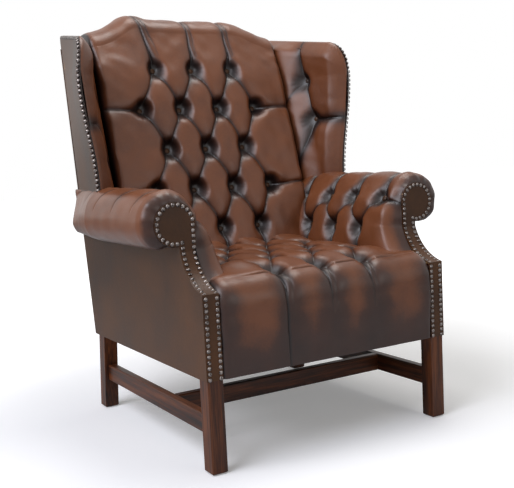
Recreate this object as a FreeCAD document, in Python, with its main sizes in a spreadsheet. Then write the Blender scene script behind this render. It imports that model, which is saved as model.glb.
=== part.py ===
"""Wingback armchair, button-tufted, on square legs with an H of stretchers.

Millimetres, +Z up, the front faces -Y, +X is to the right seen from the front.
Inside the model y = 0 is the front face of the front legs; every sub-part is then
placed so that the origin lies on the floor under the middle of the chair.
"""
import FreeCAD, Part
import math
import os
import re

import Sketcher
from FreeCAD import Vector

SIZES = {
    # legs and seat frame
    "legs_width": 675.0,
    "legs_depth": 660.0,
    "leg_side": 38.0,
    "foot_chamfer": 3.0,
    "foot_rake": 25.0,
    "rail_bottom": 212.0,
    "rail_height": 88.0,
    "rail_thick": 28.0,
    "front_rail_set": 6.0,
    "back_rail_thick": 17.0,
    "post_height": 400.0,
    "block_side": 60.0,
    "glide_radius": 11.0,
    "glide_thick": 2.0,
    # stretchers
    "stretcher_bottom": 82.0,
    "stretcher_height": 45.0,
    "stretcher_thick": 22.0,
    "stretcher_inset": 11.0,
    "stretcher_edge": 2.5,
    "cross_set": 225.0,
    # back frame
    "back_height": 1008.0,
    "front_lean": 10.7,
    "outside_lean": 9.0,
    "board_thick": 25.0,
    "crest_rail_height": 70.0,
    "lumbar_height": 690.0,
    "stay_rise": 22.0,
    "back_rail_width": 50.0,
    # arm frame
    "neck_set": 96.0,
    "neck_height": 488.0,
    "neck_sag": 17.0,
    "arm_board_thick": 28.0,
    "arm_rail_drop": 30.0,
    "arm_rail_thick": 20.0,
    "arm_rail_width": 80.0,
    "tack_rail_share": 4 / 9,
    "scroll_across": 348.0,
    "scroll_height": 550.0,
    "scroll_radius": 50.0,
    "inner_frame": 306.0,
    # covers
    "leather": 2.7,
    "end_round": 12.0,
    "gap": 0.3,
    "webbing_thick": 1.6,
    "webbing_width": 50.0,
    # buttons and tufts
    "pitch": 122.0,
    "button_radius": 7.5,
    "button_height": 5.0,
    "button_seat": 14.0,
    # seat
    "seat_half": 298.5,
    "seat_face": 9.0,
    "seat_edge_height": 372.0,
    "seat_button_height": 414.0,
    "seat_row": 108.0,
    "seat_first_row": 60.0,
    "seat_puff": 36.0,
    "seat_side_drop": 30.0,
    "seat_rear_height": 430.0,
    "seat_shoulder": 486.0,
    "seat_rear": 618.0,
    # back pad
    "back_row": 114.0,
    "back_first_row": 486.0,
    "back_button_set": 533.0,
    "back_button_lean": 16.7,
    "back_puff": 36.0,
    "back_half": 296.0,
    "crest_height": 1096.0,
    "crest_end_height": 1048.0,
    "crest_shoulder": 140.0,
    "crest_cap": 30.0,
    "crest_front_set": 702.0,
    # arm pads
    "arm_upper_across": 297.0,
    "arm_upper_height": 560.0,
    "arm_lower_across": 263.0,
    "arm_lower_height": 480.0,
    "arm_first_button": 163.0,
    "arm_pitch": 117.0,
    "arm_inner_end": 483.0,
    "arm_foot_across": 256.0,
    "arm_foot_height": 436.0,
    "arm_puff": 26.0,
    "roll_across": 354.0,
    "roll_top": 621.0,
    "roll_radius": 68.0,
    "roll_rear_radius": 58.0,
    "roll_underside": 502.0,
    # wings
    "wing_front": 455.0,
    "wing_width_low": 391.0,
    "wing_width_high": 422.0,
    "wing_low_height": 621.0,
    "wing_full_height": 915.0,
    "wing_top_front": 1024.0,
    "wing_top_dip": 1016.0,
    "wing_thick": 46.0,
    "wing_rear_thick": 40.0,
    "wing_frame_thick": 20.0,
    "wing_button_low": 788.0,
    "wing_button_high": 902.0,
    "wing_button_front": 553.0,
    "wing_button_pitch": 106.0,
    "wing_puff": 15.0,
    # seat springs
    "wire": 3.8,
    "spring_width": 48.0,
    "spring_pitch": 52.0,
    "spring_spacing": 112.0,
    "clip_side": 16.0,
    "clip_height": 5.4,
    # where the middle of the chair lies behind the front legs' face
    "origin_behind_front": 401.5,
}

doc = FreeCAD.newDocument("WingbackArmchair")
sheet = doc.addObject("Spreadsheet::Sheet", "Sizes")
for row, (alias, number) in enumerate(SIZES.items(), start=1):
    sheet.set(f"A{row}", alias)
    sheet.set(f"B{row}", str(number))
    sheet.setAlias(f"B{row}", alias)
doc.recompute()

NODES = []
ALIAS = re.compile(r"\b(" + "|".join(sorted(SIZES, key=len, reverse=True)) + r")\b")


def size(alias):
    """The number in the sheet's cell of that alias."""
    return float(sheet.get(alias))


def bind(item, prop, formula):
    """Bind a property to a formula that names the sheet's aliases."""
    item.setExpression(prop, ALIAS.sub(r"Sizes.\1", formula))


def keep(item, node):
    """Register a finished sub-part under the name of its file."""
    item.Label = node
    NODES.append(item)
    return item


def settle(item):
    """Place a sub-part built from the front legs' face about the chair's middle."""
    bind(item, "Placement.Base.y", "-origin_behind_front")
    return item


def block(node, corner, lengths):
    """A squared timber: its lowest corner and its three lengths as formulas."""
    item = doc.addObject("Part::Box", node)
    for prop, formula in zip(("Length", "Width", "Height"), lengths):
        bind(item, prop, formula)
    bind(item, "Placement.Base.x", corner[0])
    bind(item, "Placement.Base.y", f"{corner[1]} - origin_behind_front")
    bind(item, "Placement.Base.z", corner[2])
    return keep(item, node)


def origin_plane(body, role):
    """The body's own origin plane of that role."""
    return next(item for item in body.Origin.OriginFeatures if item.Role == role)


def sawn(node, role, corners, start, thick):
    """A board sawn to a straight-sided outline on an origin plane, then padded."""
    body = doc.addObject("PartDesign::Body", node)
    sketch = body.newObject("Sketcher::SketchObject", node + "_outline")
    sketch.AttachmentSupport = [(origin_plane(body, role), "")]
    sketch.MapMode = "FlatFace"
    bind(sketch, "AttachmentOffset.Base.z", start)
    count = len(corners)
    spread = [
        Vector(math.cos(math.tau * i / count), math.sin(math.tau * i / count), 0) * 100
        for i in range(count)
    ]
    for i in range(count):
        sketch.addGeometry(Part.LineSegment(spread[i], spread[(i + 1) % count]), False)
    for i in range(count):
        sketch.addConstraint(Sketcher.Constraint("Coincident", i, 2, (i + 1) % count, 1))
    for i, (across, up) in enumerate(corners):
        for kind, formula in (("DistanceX", across), ("DistanceY", up)):
            index = sketch.addConstraint(Sketcher.Constraint(kind, -1, 1, i, 1, 1.0))
            bind(sketch, f"Constraints[{index}]", formula)
    pad = body.newObject("PartDesign::Pad", node + "_pad")
    pad.Profile = sketch
    bind(pad, "Length", thick)
    doc.recompute()
    return body


def ease(body, amount, chosen):
    """Chamfer the edges of the body's last feature that a test picks out."""
    base = body.Tip
    names = [f"Edge{i + 1}" for i, edge in enumerate(base.Shape.Edges) if chosen(edge)]
    cut = body.newObject("PartDesign::Chamfer", body.Name + "_chamfer")
    cut.Base = (base, names)
    bind(cut, "Size", amount)
    doc.recompute()
    return body


def shaped(node, shape):
    """A sub-part whose form no primitive or sketch feature gives."""
    if shape.Volume < 0:
        shape.reverse()
    item = doc.addObject("Part::Feature", node)
    item.Shape = shape
    return keep(settle(item), node)


def mirrored(item, node):
    """The left-hand twin of a right-hand sub-part."""
    twin = doc.addObject("Part::Mirroring", node)
    twin.Source = item
    twin.Normal = Vector(1, 0, 0)
    twin.Base = Vector(0, 0, 0)
    return keep(twin, node)


def bent(start, middle, end):
    """An arc through three points, or a straight edge where they lie in line."""
    chord = end - start
    off = (middle - start).cross(chord).Length / chord.Length
    if off < 0.02:
        return Part.LineSegment(start, end).toShape()
    return Part.Arc(start, middle, end).toShape()


def bowed(start, end, rise, plane):
    """An edge that bows out to the left of its run by rise, within a plane."""
    run = end - start
    out = plane.cross(run)
    out.normalize()
    return bent(start, (start + end) / 2 + out * rise, end)


def ring(points, rises, plane):
    """A closed wire: point i runs to point i + 1 with the bow rises[i]."""
    count = len(points)
    edges = [
        bowed(points[i], points[(i + 1) % count], rises[i], plane) for i in range(count)
    ]
    return Part.Wire(edges)


def skinned(wires):
    """A closed solid ruled from section to section."""
    solid = Part.makeLoft(wires, True, True)
    if solid.Volume < 0:
        solid.reverse()
    return solid


def post_front(height):
    """Front face of the back posts at a height."""
    rise = height - size("rail_bottom")
    foot = size("legs_depth") - size("leg_side")
    return foot + rise * math.tan(math.radians(size("front_lean")))


def back_face(height):
    """Where the outside back's leather lies on the frame at a height."""
    rise = height - size("rail_bottom")
    foot = size("legs_depth") + size("back_rail_thick")
    return foot + rise * math.tan(math.radians(size("outside_lean")))


def crest_line(across):
    """Top of the back at a distance from the middle: level, then an ogee down."""
    top = size("crest_height")
    end = size("crest_end_height")
    start = size("crest_shoulder")
    share = min(max((abs(across) - start) / (size("back_half") - start), 0.0), 1.0)
    return end + (top - end) * 0.5 * (1 + math.cos(math.pi * share))


def back_stations():
    """Distances from the middle at which the back is drawn, one side then the other."""
    half = size("pitch") / 4
    inner = [half * i for i in range(7)]
    rest = size("back_half") - inner[-1]
    right = inner + [inner[-1] + rest * 0.5, size("back_half")]
    return [-x for x in reversed(right[1:])] + right


LEG_IN = "legs_width / 2 - leg_side"
LEG_OUT = "legs_width / 2"
FRONT_SLOPE = "tan(front_lean * 1 deg)"
BACK_SLOPE = "tan(outside_lean * 1 deg)"


def front_line(height):
    """Formula for the front face of the back posts at a height's formula."""
    return f"legs_depth - leg_side + ({height} - rail_bottom) * {FRONT_SLOPE}"


def rear_line(height):
    """Formula for the seat of the outside back's leather at a height's formula."""
    return f"legs_depth + back_rail_thick + ({height} - rail_bottom) * {BACK_SLOPE}"


def legs():
    """Front legs that run up as posts, back legs that run up as the back's uprights."""
    square = [(LEG_IN, "0"), (LEG_OUT, "0"), (LEG_OUT, "leg_side"), (LEG_IN, "leg_side")]
    foot = size("glide_thick") + size("gap")
    front = sawn("front_leg_right", "XY_Plane", square, "glide_thick", "post_height - glide_thick")
    ease(front, "foot_chamfer", lambda edge: edge.BoundBox.ZMax < foot)
    keep(settle(front), "front_leg_right")
    side = [
        ("legs_depth - leg_side + foot_rake", "glide_thick"),
        ("legs_depth + foot_rake", "glide_thick"),
        ("legs_depth", "rail_bottom"),
        (rear_line("back_height"), "back_height"),
        (front_line("back_height"), "back_height"),
        ("legs_depth - leg_side", "rail_bottom"),
    ]
    rear = sawn("back_post_right", "YZ_Plane", side, LEG_IN, "leg_side")
    ease(rear, "foot_chamfer", lambda edge: edge.BoundBox.ZMax < foot)
    keep(settle(rear), "back_post_right")
    mirrored(front, "front_leg_left")
    mirrored(rear, "back_post_left")


def leg_front_at(height):
    """Formula for the front face of a raked back leg at a height's formula."""
    return f"legs_depth - leg_side + foot_rake * (1 - ({height}) / rail_bottom)"


def stretchers():
    """Two side stretchers and the cross stretcher housed between them."""
    top = "stretcher_bottom + stretcher_height"
    side = [
        ("leg_side", "stretcher_bottom"),
        (leg_front_at("stretcher_bottom"), "stretcher_bottom"),
        (leg_front_at(top), top),
        ("leg_side", top),
    ]
    start = f"{LEG_OUT} - stretcher_inset - stretcher_thick"
    body = sawn("side_stretcher_right", "YZ_Plane", side, start, "stretcher_thick")
    long_run = size("legs_depth") / 2
    ease(body, "stretcher_edge", lambda edge: edge.BoundBox.YLength > long_run)
    keep(settle(body), "side_stretcher_right")
    mirrored(body, "side_stretcher_left")
    half = f"({start})"
    cross = [
        ("cross_set", "stretcher_bottom"),
        ("cross_set + stretcher_thick", "stretcher_bottom"),
        ("cross_set + stretcher_thick", top),
        ("cross_set", top),
    ]
    body = sawn("cross_stretcher", "YZ_Plane", cross, f"-{half}", f"2 * {half}")
    wide = size("legs_width") / 2
    ease(body, "stretcher_edge", lambda edge: edge.BoundBox.XLength > wide)
    keep(settle(body), "cross_stretcher")


def seat_rails():
    """The four rails of the seat frame, housed between and behind the legs."""
    block(
        "front_rail",
        (f"-({LEG_IN})", "front_rail_set", "rail_bottom"),
        (f"2 * ({LEG_IN})", "rail_thick", "rail_height"),
    )
    top = "rail_bottom + rail_height"
    spread = f"(back_rail_thick / (back_height - rail_bottom) + {BACK_SLOPE})"
    wedge = [
        ("legs_depth", "rail_bottom"),
        ("legs_depth + back_rail_thick - gap", "rail_bottom"),
        (f"{rear_line(f'({top})')} - gap", top),
        (f"legs_depth + rail_height * {spread}", top),
    ]
    planted = sawn("back_planted_rail", "YZ_Plane", wedge, f"-({LEG_OUT})", "legs_width")
    keep(settle(planted), "back_planted_rail")
    side = block(
        "side_rail_right",
        (f"{LEG_OUT} - rail_thick", "leg_side", "rail_bottom"),
        ("rail_thick", "legs_depth - 2 * leg_side", "rail_height"),
    )
    mirrored(side, "side_rail_left")
    block(
        "back_rail",
        (f"-({LEG_IN})", "legs_depth - rail_thick", "rail_bottom"),
        (f"2 * ({LEG_IN})", "rail_thick", "rail_height"),
    )


def corner_blocks():
    """Three-cornered glue blocks in the four corners of the seat frame."""
    reach = size("block_side")
    low = size("rail_bottom") + size("rail_height") / 4
    tall = size("rail_height") / 2
    side = size("legs_width") / 2 - size("rail_thick")
    front = size("front_rail_set") + size("rail_thick")
    rear = size("legs_depth") - size("rail_thick")
    solids = []
    for hand in (-1, 1):
        for edge, inward in ((front, 1), (rear, -1)):
            leg_clear = size("leg_side") + size("gap")
            near = size("legs_width") / 2 - leg_clear
            corner = Vector(hand * near, edge, low)
            deep = Vector(hand * near, edge + inward * reach, low)
            across = Vector(hand * (near - reach), edge, low)
            face = Part.Face(Part.makePolygon([corner, deep, across, corner]))
            solids.append(face.extrude(Vector(0, 0, tall)))
    shaped("corner_blocks", Part.Compound(solids))


def glides():
    """Nail-on glides under the four feet."""
    thick = size("glide_thick")
    centre = size("legs_width") / 2 - size("leg_side") / 2
    front = size("leg_side") / 2
    rear = size("legs_depth") - size("leg_side") / 2 + size("foot_rake")
    discs = [
        Part.makeCylinder(size("glide_radius"), thick, Vector(hand * centre, y, 0))
        for hand in (-1, 1)
        for y in (front, rear)
    ]
    shaped("leg_glides", Part.Compound(discs))


def raked_board(outline, thick):
    """A board in the lean of the back posts, its outline given across and up."""
    points = [Vector(x, post_front(z), z) for x, z in outline]
    face = Part.Face(Part.makePolygon(points + points[:1]))
    return face.extrude(Vector(0, thick, 0))


def back_frame():
    """Crest rail cut to the ogee, lumbar rail and stay rail between the posts."""
    inner = size("legs_width") / 2 - size("leg_side")
    top_line = [x for x in back_stations() if abs(x) < inner]
    cap = size("crest_cap") + size("gap")
    low = size("crest_end_height") - cap - size("crest_rail_height")
    outline = [(-inner, low), (inner, low)]
    outline += [(inner, crest_line(inner) - cap)]
    outline += [(x, crest_line(x) - cap) for x in reversed(top_line)]
    outline += [(-inner, crest_line(inner) - cap)]
    shaped("crest_rail", raked_board(outline, size("board_thick")))
    stay = size("seat_rear_height") + size("stay_rise")
    for node, start in (("lumbar_rail", size("lumbar_height")), ("stay_rail", stay)):
        stop = start + size("back_rail_width")
        outline = [(-inner, start), (inner, start), (inner, stop), (-inner, stop)]
        shaped(node, raked_board(outline, size("board_thick")))


def back_webbing():
    """Jute straps tacked across the back posts, under the stuffing."""
    reach = (size("legs_width") / 2 - size("leg_side") + size("inner_frame")) / 2
    thick = size("webbing_thick")
    width = size("webbing_width")
    first = size("seat_rear_height") + size("stay_rise")
    last = size("crest_end_height") - size("crest_cap") - size("crest_rail_height")
    straps = 6
    step = (last - first) / (straps - 1)
    solids = []
    for i in range(straps):
        low = first + i * step
        outline = [(-reach, low), (reach, low), (reach, low + width), (-reach, low + width)]
        strap = raked_board(outline, thick)
        strap.translate(Vector(0, -thick, 0))
        solids.append(strap)
    shaped("back_webbing", Part.Compound(solids))


def many_sided(place, way, low_radius, high_radius, tall):
    """A low frustum of ten sides that stands on a place and faces a way."""
    sides = 10
    turn = FreeCAD.Rotation(Vector(0, 0, 1), way)

    def rim(radius, height):
        corners = [
            Vector(math.cos(math.tau * i / sides), math.sin(math.tau * i / sides), 0) * radius
            + Vector(0, 0, height)
            for i in range(sides)
        ]
        corners = [place + turn.multVec(corner) for corner in corners]
        return Part.makePolygon(corners + corners[:1])

    return skinned([rim(low_radius, 0), rim(high_radius, tall)])


def pockets(places):
    """Round seats for covered buttons, to be cut from a tufted pad."""
    radius = size("button_radius") + 2 * size("gap")
    deep = size("button_height") * 8
    return Part.Compound([many_sided(place, way, radius, radius, deep) for place, way in places])


def covered_buttons(node, places):
    """Covered buttons standing in their seats, as one group."""
    radius = size("button_radius")
    tall = size("button_height")
    gap = size("gap")
    discs = [
        many_sided(place + way * gap, way, radius, radius * 0.6, tall) for place, way in places
    ]
    return shaped(node, Part.Compound(discs))


def row_places(row):
    """Places of a row's buttons across, in pitches: three and four by turns."""
    return (-1, 0, 1) if row % 2 == 0 else (-1.5, -0.5, 0.5, 1.5)


def back_button_places():
    """Where the back's buttons sit and the way they face, rows from the seat up."""
    lean = math.radians(size("back_button_lean"))
    way = Vector(0, -math.cos(lean), math.sin(lean))
    places = []
    for row in range(5):
        rise = row * size("back_row")
        y = size("back_button_set") + rise * math.tan(lean)
        height = size("back_first_row") + rise
        places += [(Vector(n * size("pitch"), y, height), way) for n in row_places(row)]
    return places


def seat_button_places():
    """Where the seat's buttons sit, rows from the front to the rear."""
    up = Vector(0, 0, 1)
    places = []
    for row in range(4):
        y = size("seat_first_row") + row * size("seat_row")
        height = size("seat_button_height")
        places += [(Vector(n * size("pitch"), y, height), up) for n in row_places(row)]
    return places


def arm_button_places():
    """Where the right arm's buttons sit: an upper row and a lower row between them."""
    way = Vector(-0.92, 0, 0.39)
    places = []
    for n in range(3):
        for name, ahead in (("upper", 0.0), ("lower", 0.5)):
            y = size("arm_first_button") + (n + ahead) * size("arm_pitch")
            spot = Vector(size(f"arm_{name}_across"), y, size(f"arm_{name}_height"))
            places.append((spot, way))
    return places


def wing_button_places():
    """Where the right wing's three buttons sit, in a triangle."""
    way = Vector(-0.96, -0.28, 0)
    front = size("wing_button_front")
    span = size("wing_button_pitch")
    skin = size("leather") + size("gap")
    places = []
    for y, row in ((front, "low"), (front + span / 2, "high"), (front + span, "low")):
        height = size(f"wing_button_{row}")
        across = wing_outside(y, height) - skin - wing_thickness(y) + size("wing_puff")
        places.append((Vector(across, y, height), way))
    return places


def buttons():
    """The covered buttons of the back, the seat, the arms and the wings."""
    covered_buttons("back_buttons", back_button_places())
    covered_buttons("seat_buttons", seat_button_places())
    arm = covered_buttons("arm_buttons_right", arm_button_places())
    mirrored(arm, "arm_buttons_left")
    wing = covered_buttons("wing_buttons_right", wing_button_places())
    mirrored(wing, "wing_buttons_left")


def sweep_curve(start, end):
    """The arm front's hollow sweep from the knee over the leg up to the neck."""
    along = end - start
    out = Vector(1, 0, 0).cross(along)
    out.normalize()
    return bent(start, (start + end) / 2 - out * size("neck_sag"), end)


def across_prism(edges, low, high):
    """A prism across the chair over a closed side outline."""
    face = Part.Face(Part.Wire(edges))
    solid = face.extrude(Vector(high - low, 0, 0))
    solid.translate(Vector(low, 0, 0))
    return solid


def line(start, end):
    """A straight edge."""
    return Part.LineSegment(start, end).toShape()


def scroll_outline(low, deep):
    """Front outline of the arm: the strip over the leg and the round of the scroll."""
    inner = size("legs_width") / 2 - size("leg_side")
    centre = Vector(size("scroll_across"), -deep, size("scroll_height"))
    disc = Part.makeCylinder(size("scroll_radius"), 3 * deep, centre, Vector(0, 1, 0))
    strip = Part.makeBox(
        size("leg_side"), 3 * deep, size("scroll_height") - low, Vector(inner, -deep, low)
    )
    return disc.fuse(strip).removeSplitter()


def arm_front():
    """The shaped board of the arm's front, and the leather facing nailed over it."""
    gap = size("gap")
    skin = size("leather")
    top = size("scroll_height") + size("scroll_radius") + gap
    knee = size("post_height")
    neck = size("neck_height")
    deep = size("neck_set") + 2 * size("arm_board_thick")
    wide = size("scroll_across") + 2 * size("scroll_radius")

    foot = size("rail_bottom") + size("rail_height")
    rear = size("neck_set") + gap + size("arm_board_thick")
    face = size("neck_set") + gap
    start = Vector(0, 2 * gap, knee)
    end = Vector(0, face, neck - skin)
    leg_back = size("leg_side")
    corners = [
        end, Vector(0, face, top), Vector(0, rear, top), Vector(0, rear, foot),
        Vector(0, leg_back, foot), Vector(0, leg_back, knee), start,
    ]
    edges = [line(a, b) for a, b in zip(corners, corners[1:])] + [sweep_curve(start, end)]
    board = across_prism(edges, 0, wide).common(scroll_outline(foot, deep))
    board = shaped("arm_post_right", board.removeSplitter())
    mirrored(board, "arm_post_left")

    low = size("rail_bottom")
    outer = [
        Vector(0, -skin - gap, low), Vector(0, -skin - gap, knee + skin),
        Vector(0, size("neck_set") - skin, neck), Vector(0, size("neck_set") - skin, top),
    ]
    inner = [
        Vector(0, size("neck_set"), top), Vector(0, size("neck_set"), neck - skin),
        Vector(0, -gap, knee + gap), Vector(0, -gap, low),
    ]
    edges = [
        line(outer[0], outer[1]), sweep_curve(outer[1], outer[2]), line(outer[2], outer[3]),
        line(outer[3], inner[0]), line(inner[0], inner[1]), sweep_curve(inner[2], inner[1]),
        line(inner[2], inner[3]), line(inner[3], outer[0]),
    ]
    facing = across_prism(edges, 0, wide).common(scroll_outline(low, deep))
    facing = shaped("arm_facing_right", facing.removeSplitter())
    mirrored(facing, "arm_facing_left")

    side = size("legs_width") / 2 + gap
    crown = size("scroll_height") - size("scroll_radius") - gap
    corners = [
        outer[2], Vector(0, outer[2].y, crown),
        Vector(0, back_face(crown) - gap, crown), Vector(0, back_face(low) - gap, low),
        outer[0], outer[1],
    ]
    edges = [line(a, b) for a, b in zip(corners, corners[1:])]
    edges.append(sweep_curve(outer[1], outer[2]))
    panel = shaped("outside_arm_right", across_prism(edges, side, side + skin))
    mirrored(panel, "outside_arm_left")


def arm_rail_low():
    """Underside of the flat arm board, a drop below the middle of the scroll."""
    return size("scroll_height") - size("arm_rail_drop")


def arm_rails():
    """The flat arm board that carries the roll, and the tacking rail under it."""
    front = "neck_set + gap + arm_board_thick"
    low = "(scroll_height - arm_rail_drop)"
    rail = block(
        "arm_rail_right",
        ("inner_frame", front, low),
        ("arm_rail_width", f"({front_line(low)}) - ({front})", "arm_rail_thick"),
    )
    mirrored(rail, "arm_rail_left")
    tack = block(
        "arm_stay_rail_right",
        ("inner_frame", front, "seat_rear_height"),
        (
            "rail_thick", f"({front_line('seat_rear_height')}) - ({front})",
            f"({low} - seat_rear_height) * tack_rail_share",
        ),
    )
    mirrored(tack, "arm_stay_rail_left")


def seat_floor():
    """Underside of the seat's stuffing, on the hessian over the springs' clips."""
    rails = size("rail_bottom") + size("rail_height")
    return rails + size("clip_height") + size("webbing_thick") + 2 * size("gap")


def seat_section(across, kind):
    """The seat's side outline at a distance from the middle.

    kind is "own" where rows one and three have buttons, "other" where rows two and
    four have, "between" halfway, and "edge" towards the arms.
    """
    first = size("seat_first_row")
    row = size("seat_row")
    half_seat = size("button_seat") / 2
    share = max(abs(across) - size("pitch") * 1.5, 0) / (size("seat_half") - size("pitch") * 1.5)
    drop = size("seat_side_drop") * share
    low = size("seat_button_height") - drop * 0.4
    puff = size("seat_puff")
    face = size("seat_face")
    edge = size("seat_edge_height")
    shoulder = size("seat_shoulder")
    top = size("seat_rear_height")
    if kind == "own":
        rows = [(first, low), (first + 2 * row - half_seat, low), (first + 2 * row + half_seat, low)]
        rises = [puff * 0.45, puff, 0, puff * 0.7]
        face -= 5
    elif kind == "other":
        rows = [
            (first + row - half_seat, low), (first + row + half_seat, low),
            (first + 3 * row, low),
        ]
        rises = [puff, 0, puff, puff * 0.35]
    else:
        shallow = low + puff * 0.4
        rows = [(first + row * (i + 0.5), shallow) for i in range(3)]
        rises = [puff * 0.7, puff * 0.45, puff * 0.45, puff * 0.4]
    if kind == "edge":
        shallow = size("seat_button_height") + puff * 0.7 - drop
        rows = [(first + row * (i + 0.5), shallow) for i in range(3)]
        rises = [puff * 0.6, puff * 0.15, puff * 0.15, puff * 0.15]
    inside = size("front_rail_set") - size("gap")
    low_face = size("rail_bottom")
    points = [(-face + 2, low_face), (-face, edge)] + rows
    points += [
        (shoulder, top), (size("seat_rear"), top), (size("seat_rear"), seat_floor()),
        (inside, seat_floor()), (inside, low_face),
    ]
    rises = [5] + rises + [0] * 5
    return ring([Vector(across, y, z) for y, z in points], rises, Vector(1, 0, 0))


def stations_and_kinds(last, edge_kind="edge"):
    """Where the tufted pads are drawn across the chair, with the kind of each."""
    quarter = size("pitch") / 4
    kinds = ["own", "between", "other", "between"]
    right = [(quarter * i, kinds[i % 4]) for i in range(7)]
    right += [((right[-1][0] + last) / 2, edge_kind), (last, edge_kind)]
    return [(-x, kind) for x, kind in reversed(right[1:])] + right


def seat_pad():
    """The tufted seat, whose leather runs down over the front rail."""
    wires = [seat_section(x, kind) for x, kind in stations_and_kinds(size("seat_half"))]
    shaped("seat_pad", skinned(wires).cut(pockets(seat_button_places())))


def back_section(across, kind):
    """The back's side outline at a distance from the middle, from the seat to the crest."""
    first = size("back_first_row")
    row = size("back_row")
    lean = math.tan(math.radians(size("back_button_lean")))
    seat = size("button_seat") / 2
    puff = size("back_puff")
    clear = size("webbing_thick") + 2 * size("gap")
    top = crest_line(across)
    cap = top - size("crest_cap")
    bottom = size("seat_rear_height") + size("gap")

    def plane(height, proud=0.0):
        return (size("back_button_set") + (height - first) * lean - proud, height)

    if kind == "own":
        rows = [plane(first), plane(first + 2 * row - seat), plane(first + 2 * row + seat)]
        rows += [plane(first + 4 * row)]
        rises = [puff * 0.2, puff, 0, puff, puff * 0.5]
        front_puff = 4
    elif kind == "other":
        rows = [plane(first + row - seat), plane(first + row + seat)]
        rows += [plane(first + 3 * row - seat), plane(first + 3 * row + seat)]
        rises = [puff * 0.8, 0, puff, 0, puff * 1.2]
        front_puff = 12
    elif kind == "between":
        rows = [plane(first + row * (i + 0.5), puff * 0.4) for i in range(4)]
        rises = [puff * 0.4, puff * 0.5, puff * 0.5, puff * 0.5, puff * 0.6]
        front_puff = 10
    else:
        rows = [plane(first + row * (i + 0.5), puff * 0.6) for i in range(4)]
        rises = [puff * 0.3, puff * 0.25, puff * 0.2, puff * 0.25, puff * 0.5]
        front_puff = 6
    fore = (size("crest_front_set") - front_puff, cap - 8)
    aft = back_face(cap)
    apex = ((fore[0] + aft) / 2 + 12, top)
    points = [(plane(bottom, puff * 0.6)[0], bottom)] + rows + [fore, apex]
    points += [(aft, cap), (post_front(cap) - clear, cap), (post_front(bottom) - clear, bottom)]
    rises = rises + [11, 12, 0, 0, 0]
    return ring([Vector(across, y, z) for y, z in points], rises, Vector(1, 0, 0))


def back_pad():
    """The tufted back, carried over the crest rail and down to the outside back."""
    wires = [back_section(x, kind) for x, kind in stations_and_kinds(size("back_half"))]
    shaped("back_pad", skinned(wires).cut(pockets(back_button_places())))


def outside_back():
    """The plain leather panel of the rear, following the crest's ogee."""
    side = size("legs_width") / 2 + size("gap") + size("leather")
    cap = size("crest_cap")
    low = size("rail_bottom")
    stations = back_stations()
    outline = [(-side, low), (side, low), (side, crest_line(side) - cap)]
    outline += [(x, crest_line(x) - cap) for x in reversed(stations)]
    outline += [(-side, crest_line(side) - cap)]
    points = [Vector(x, back_face(z) + size("gap"), z) for x, z in outline]
    face = Part.Face(Part.makePolygon(points + points[:1]))
    shaped("outside_back", face.extrude(Vector(0, size("leather"), 0)))


def roll_radius_at(y):
    """Radius of the arm roll, which tapers from the scroll to the rear."""
    start = size("neck_set")
    share = (y - start) / (back_face(size("roll_top")) - start)
    return size("roll_radius") + (size("roll_rear_radius") - size("roll_radius")) * share


def arm_section(y, kind, shrink=0.0):
    """The arm's outline across: the tufted inner face, the roll and the board's slot."""
    puff = size("arm_puff")
    radius = roll_radius_at(y) - shrink
    centre = (size("roll_across"), size("roll_top") - roll_radius_at(y))
    top = (centre[0] - 4, centre[1] + radius)
    outer = (centre[0] + radius, centre[1])
    under = (size("inner_frame") + 34, size("roll_underside"))
    upper = (size("arm_upper_across") + shrink / 2, size("arm_upper_height"))
    lower = (size("arm_lower_across") + shrink, size("arm_lower_height"))
    foot = (size("arm_foot_across") + shrink, size("arm_foot_height"))
    if kind == "upper":
        crease, rises = upper, [puff * 1.1, 8]
    elif kind == "lower":
        crease, rises = lower, [4, puff * 1.25]
    elif kind == "between":
        crease = ((upper[0] + lower[0]) / 2 - puff * 0.3, (upper[1] + lower[1]) / 2)
        rises = [puff * 0.5, puff * 0.6]
    else:
        crease = ((upper[0] + lower[0]) / 2 - puff * 0.5, (upper[1] + lower[1]) / 2)
        rises = [puff * 0.3, puff * 0.55]
    gap = size("gap")
    frame = size("inner_frame") - gap
    board = size("inner_frame") + size("arm_rail_width") + gap
    low = arm_rail_low() - gap
    high = arm_rail_low() + size("arm_rail_thick") + gap
    points = [foot, crease, top, outer, under, (under[0], low), (board, low)]
    points += [(board, high), (frame, high), (frame, foot[1])]
    corners = [Vector(x, y, z) for x, z in points]
    middle = Vector(centre[0], y, centre[1])

    def rim(angle):
        turn = math.radians(angle)
        return middle + Vector(math.cos(turn), 0, math.sin(turn)) * radius

    plane = Vector(0, 1, 0)
    edges = [bowed(corners[i], corners[i + 1], -rises[i], plane) for i in range(2)]
    edges.append(bent(corners[2], rim(45), corners[3]))
    edges.append(bent(corners[3], rim(-42), corners[4]))
    closed = corners[4:] + corners[:1]
    edges += [line(a, b) for a, b in zip(closed, closed[1:])]
    return Part.Wire(edges)


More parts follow.
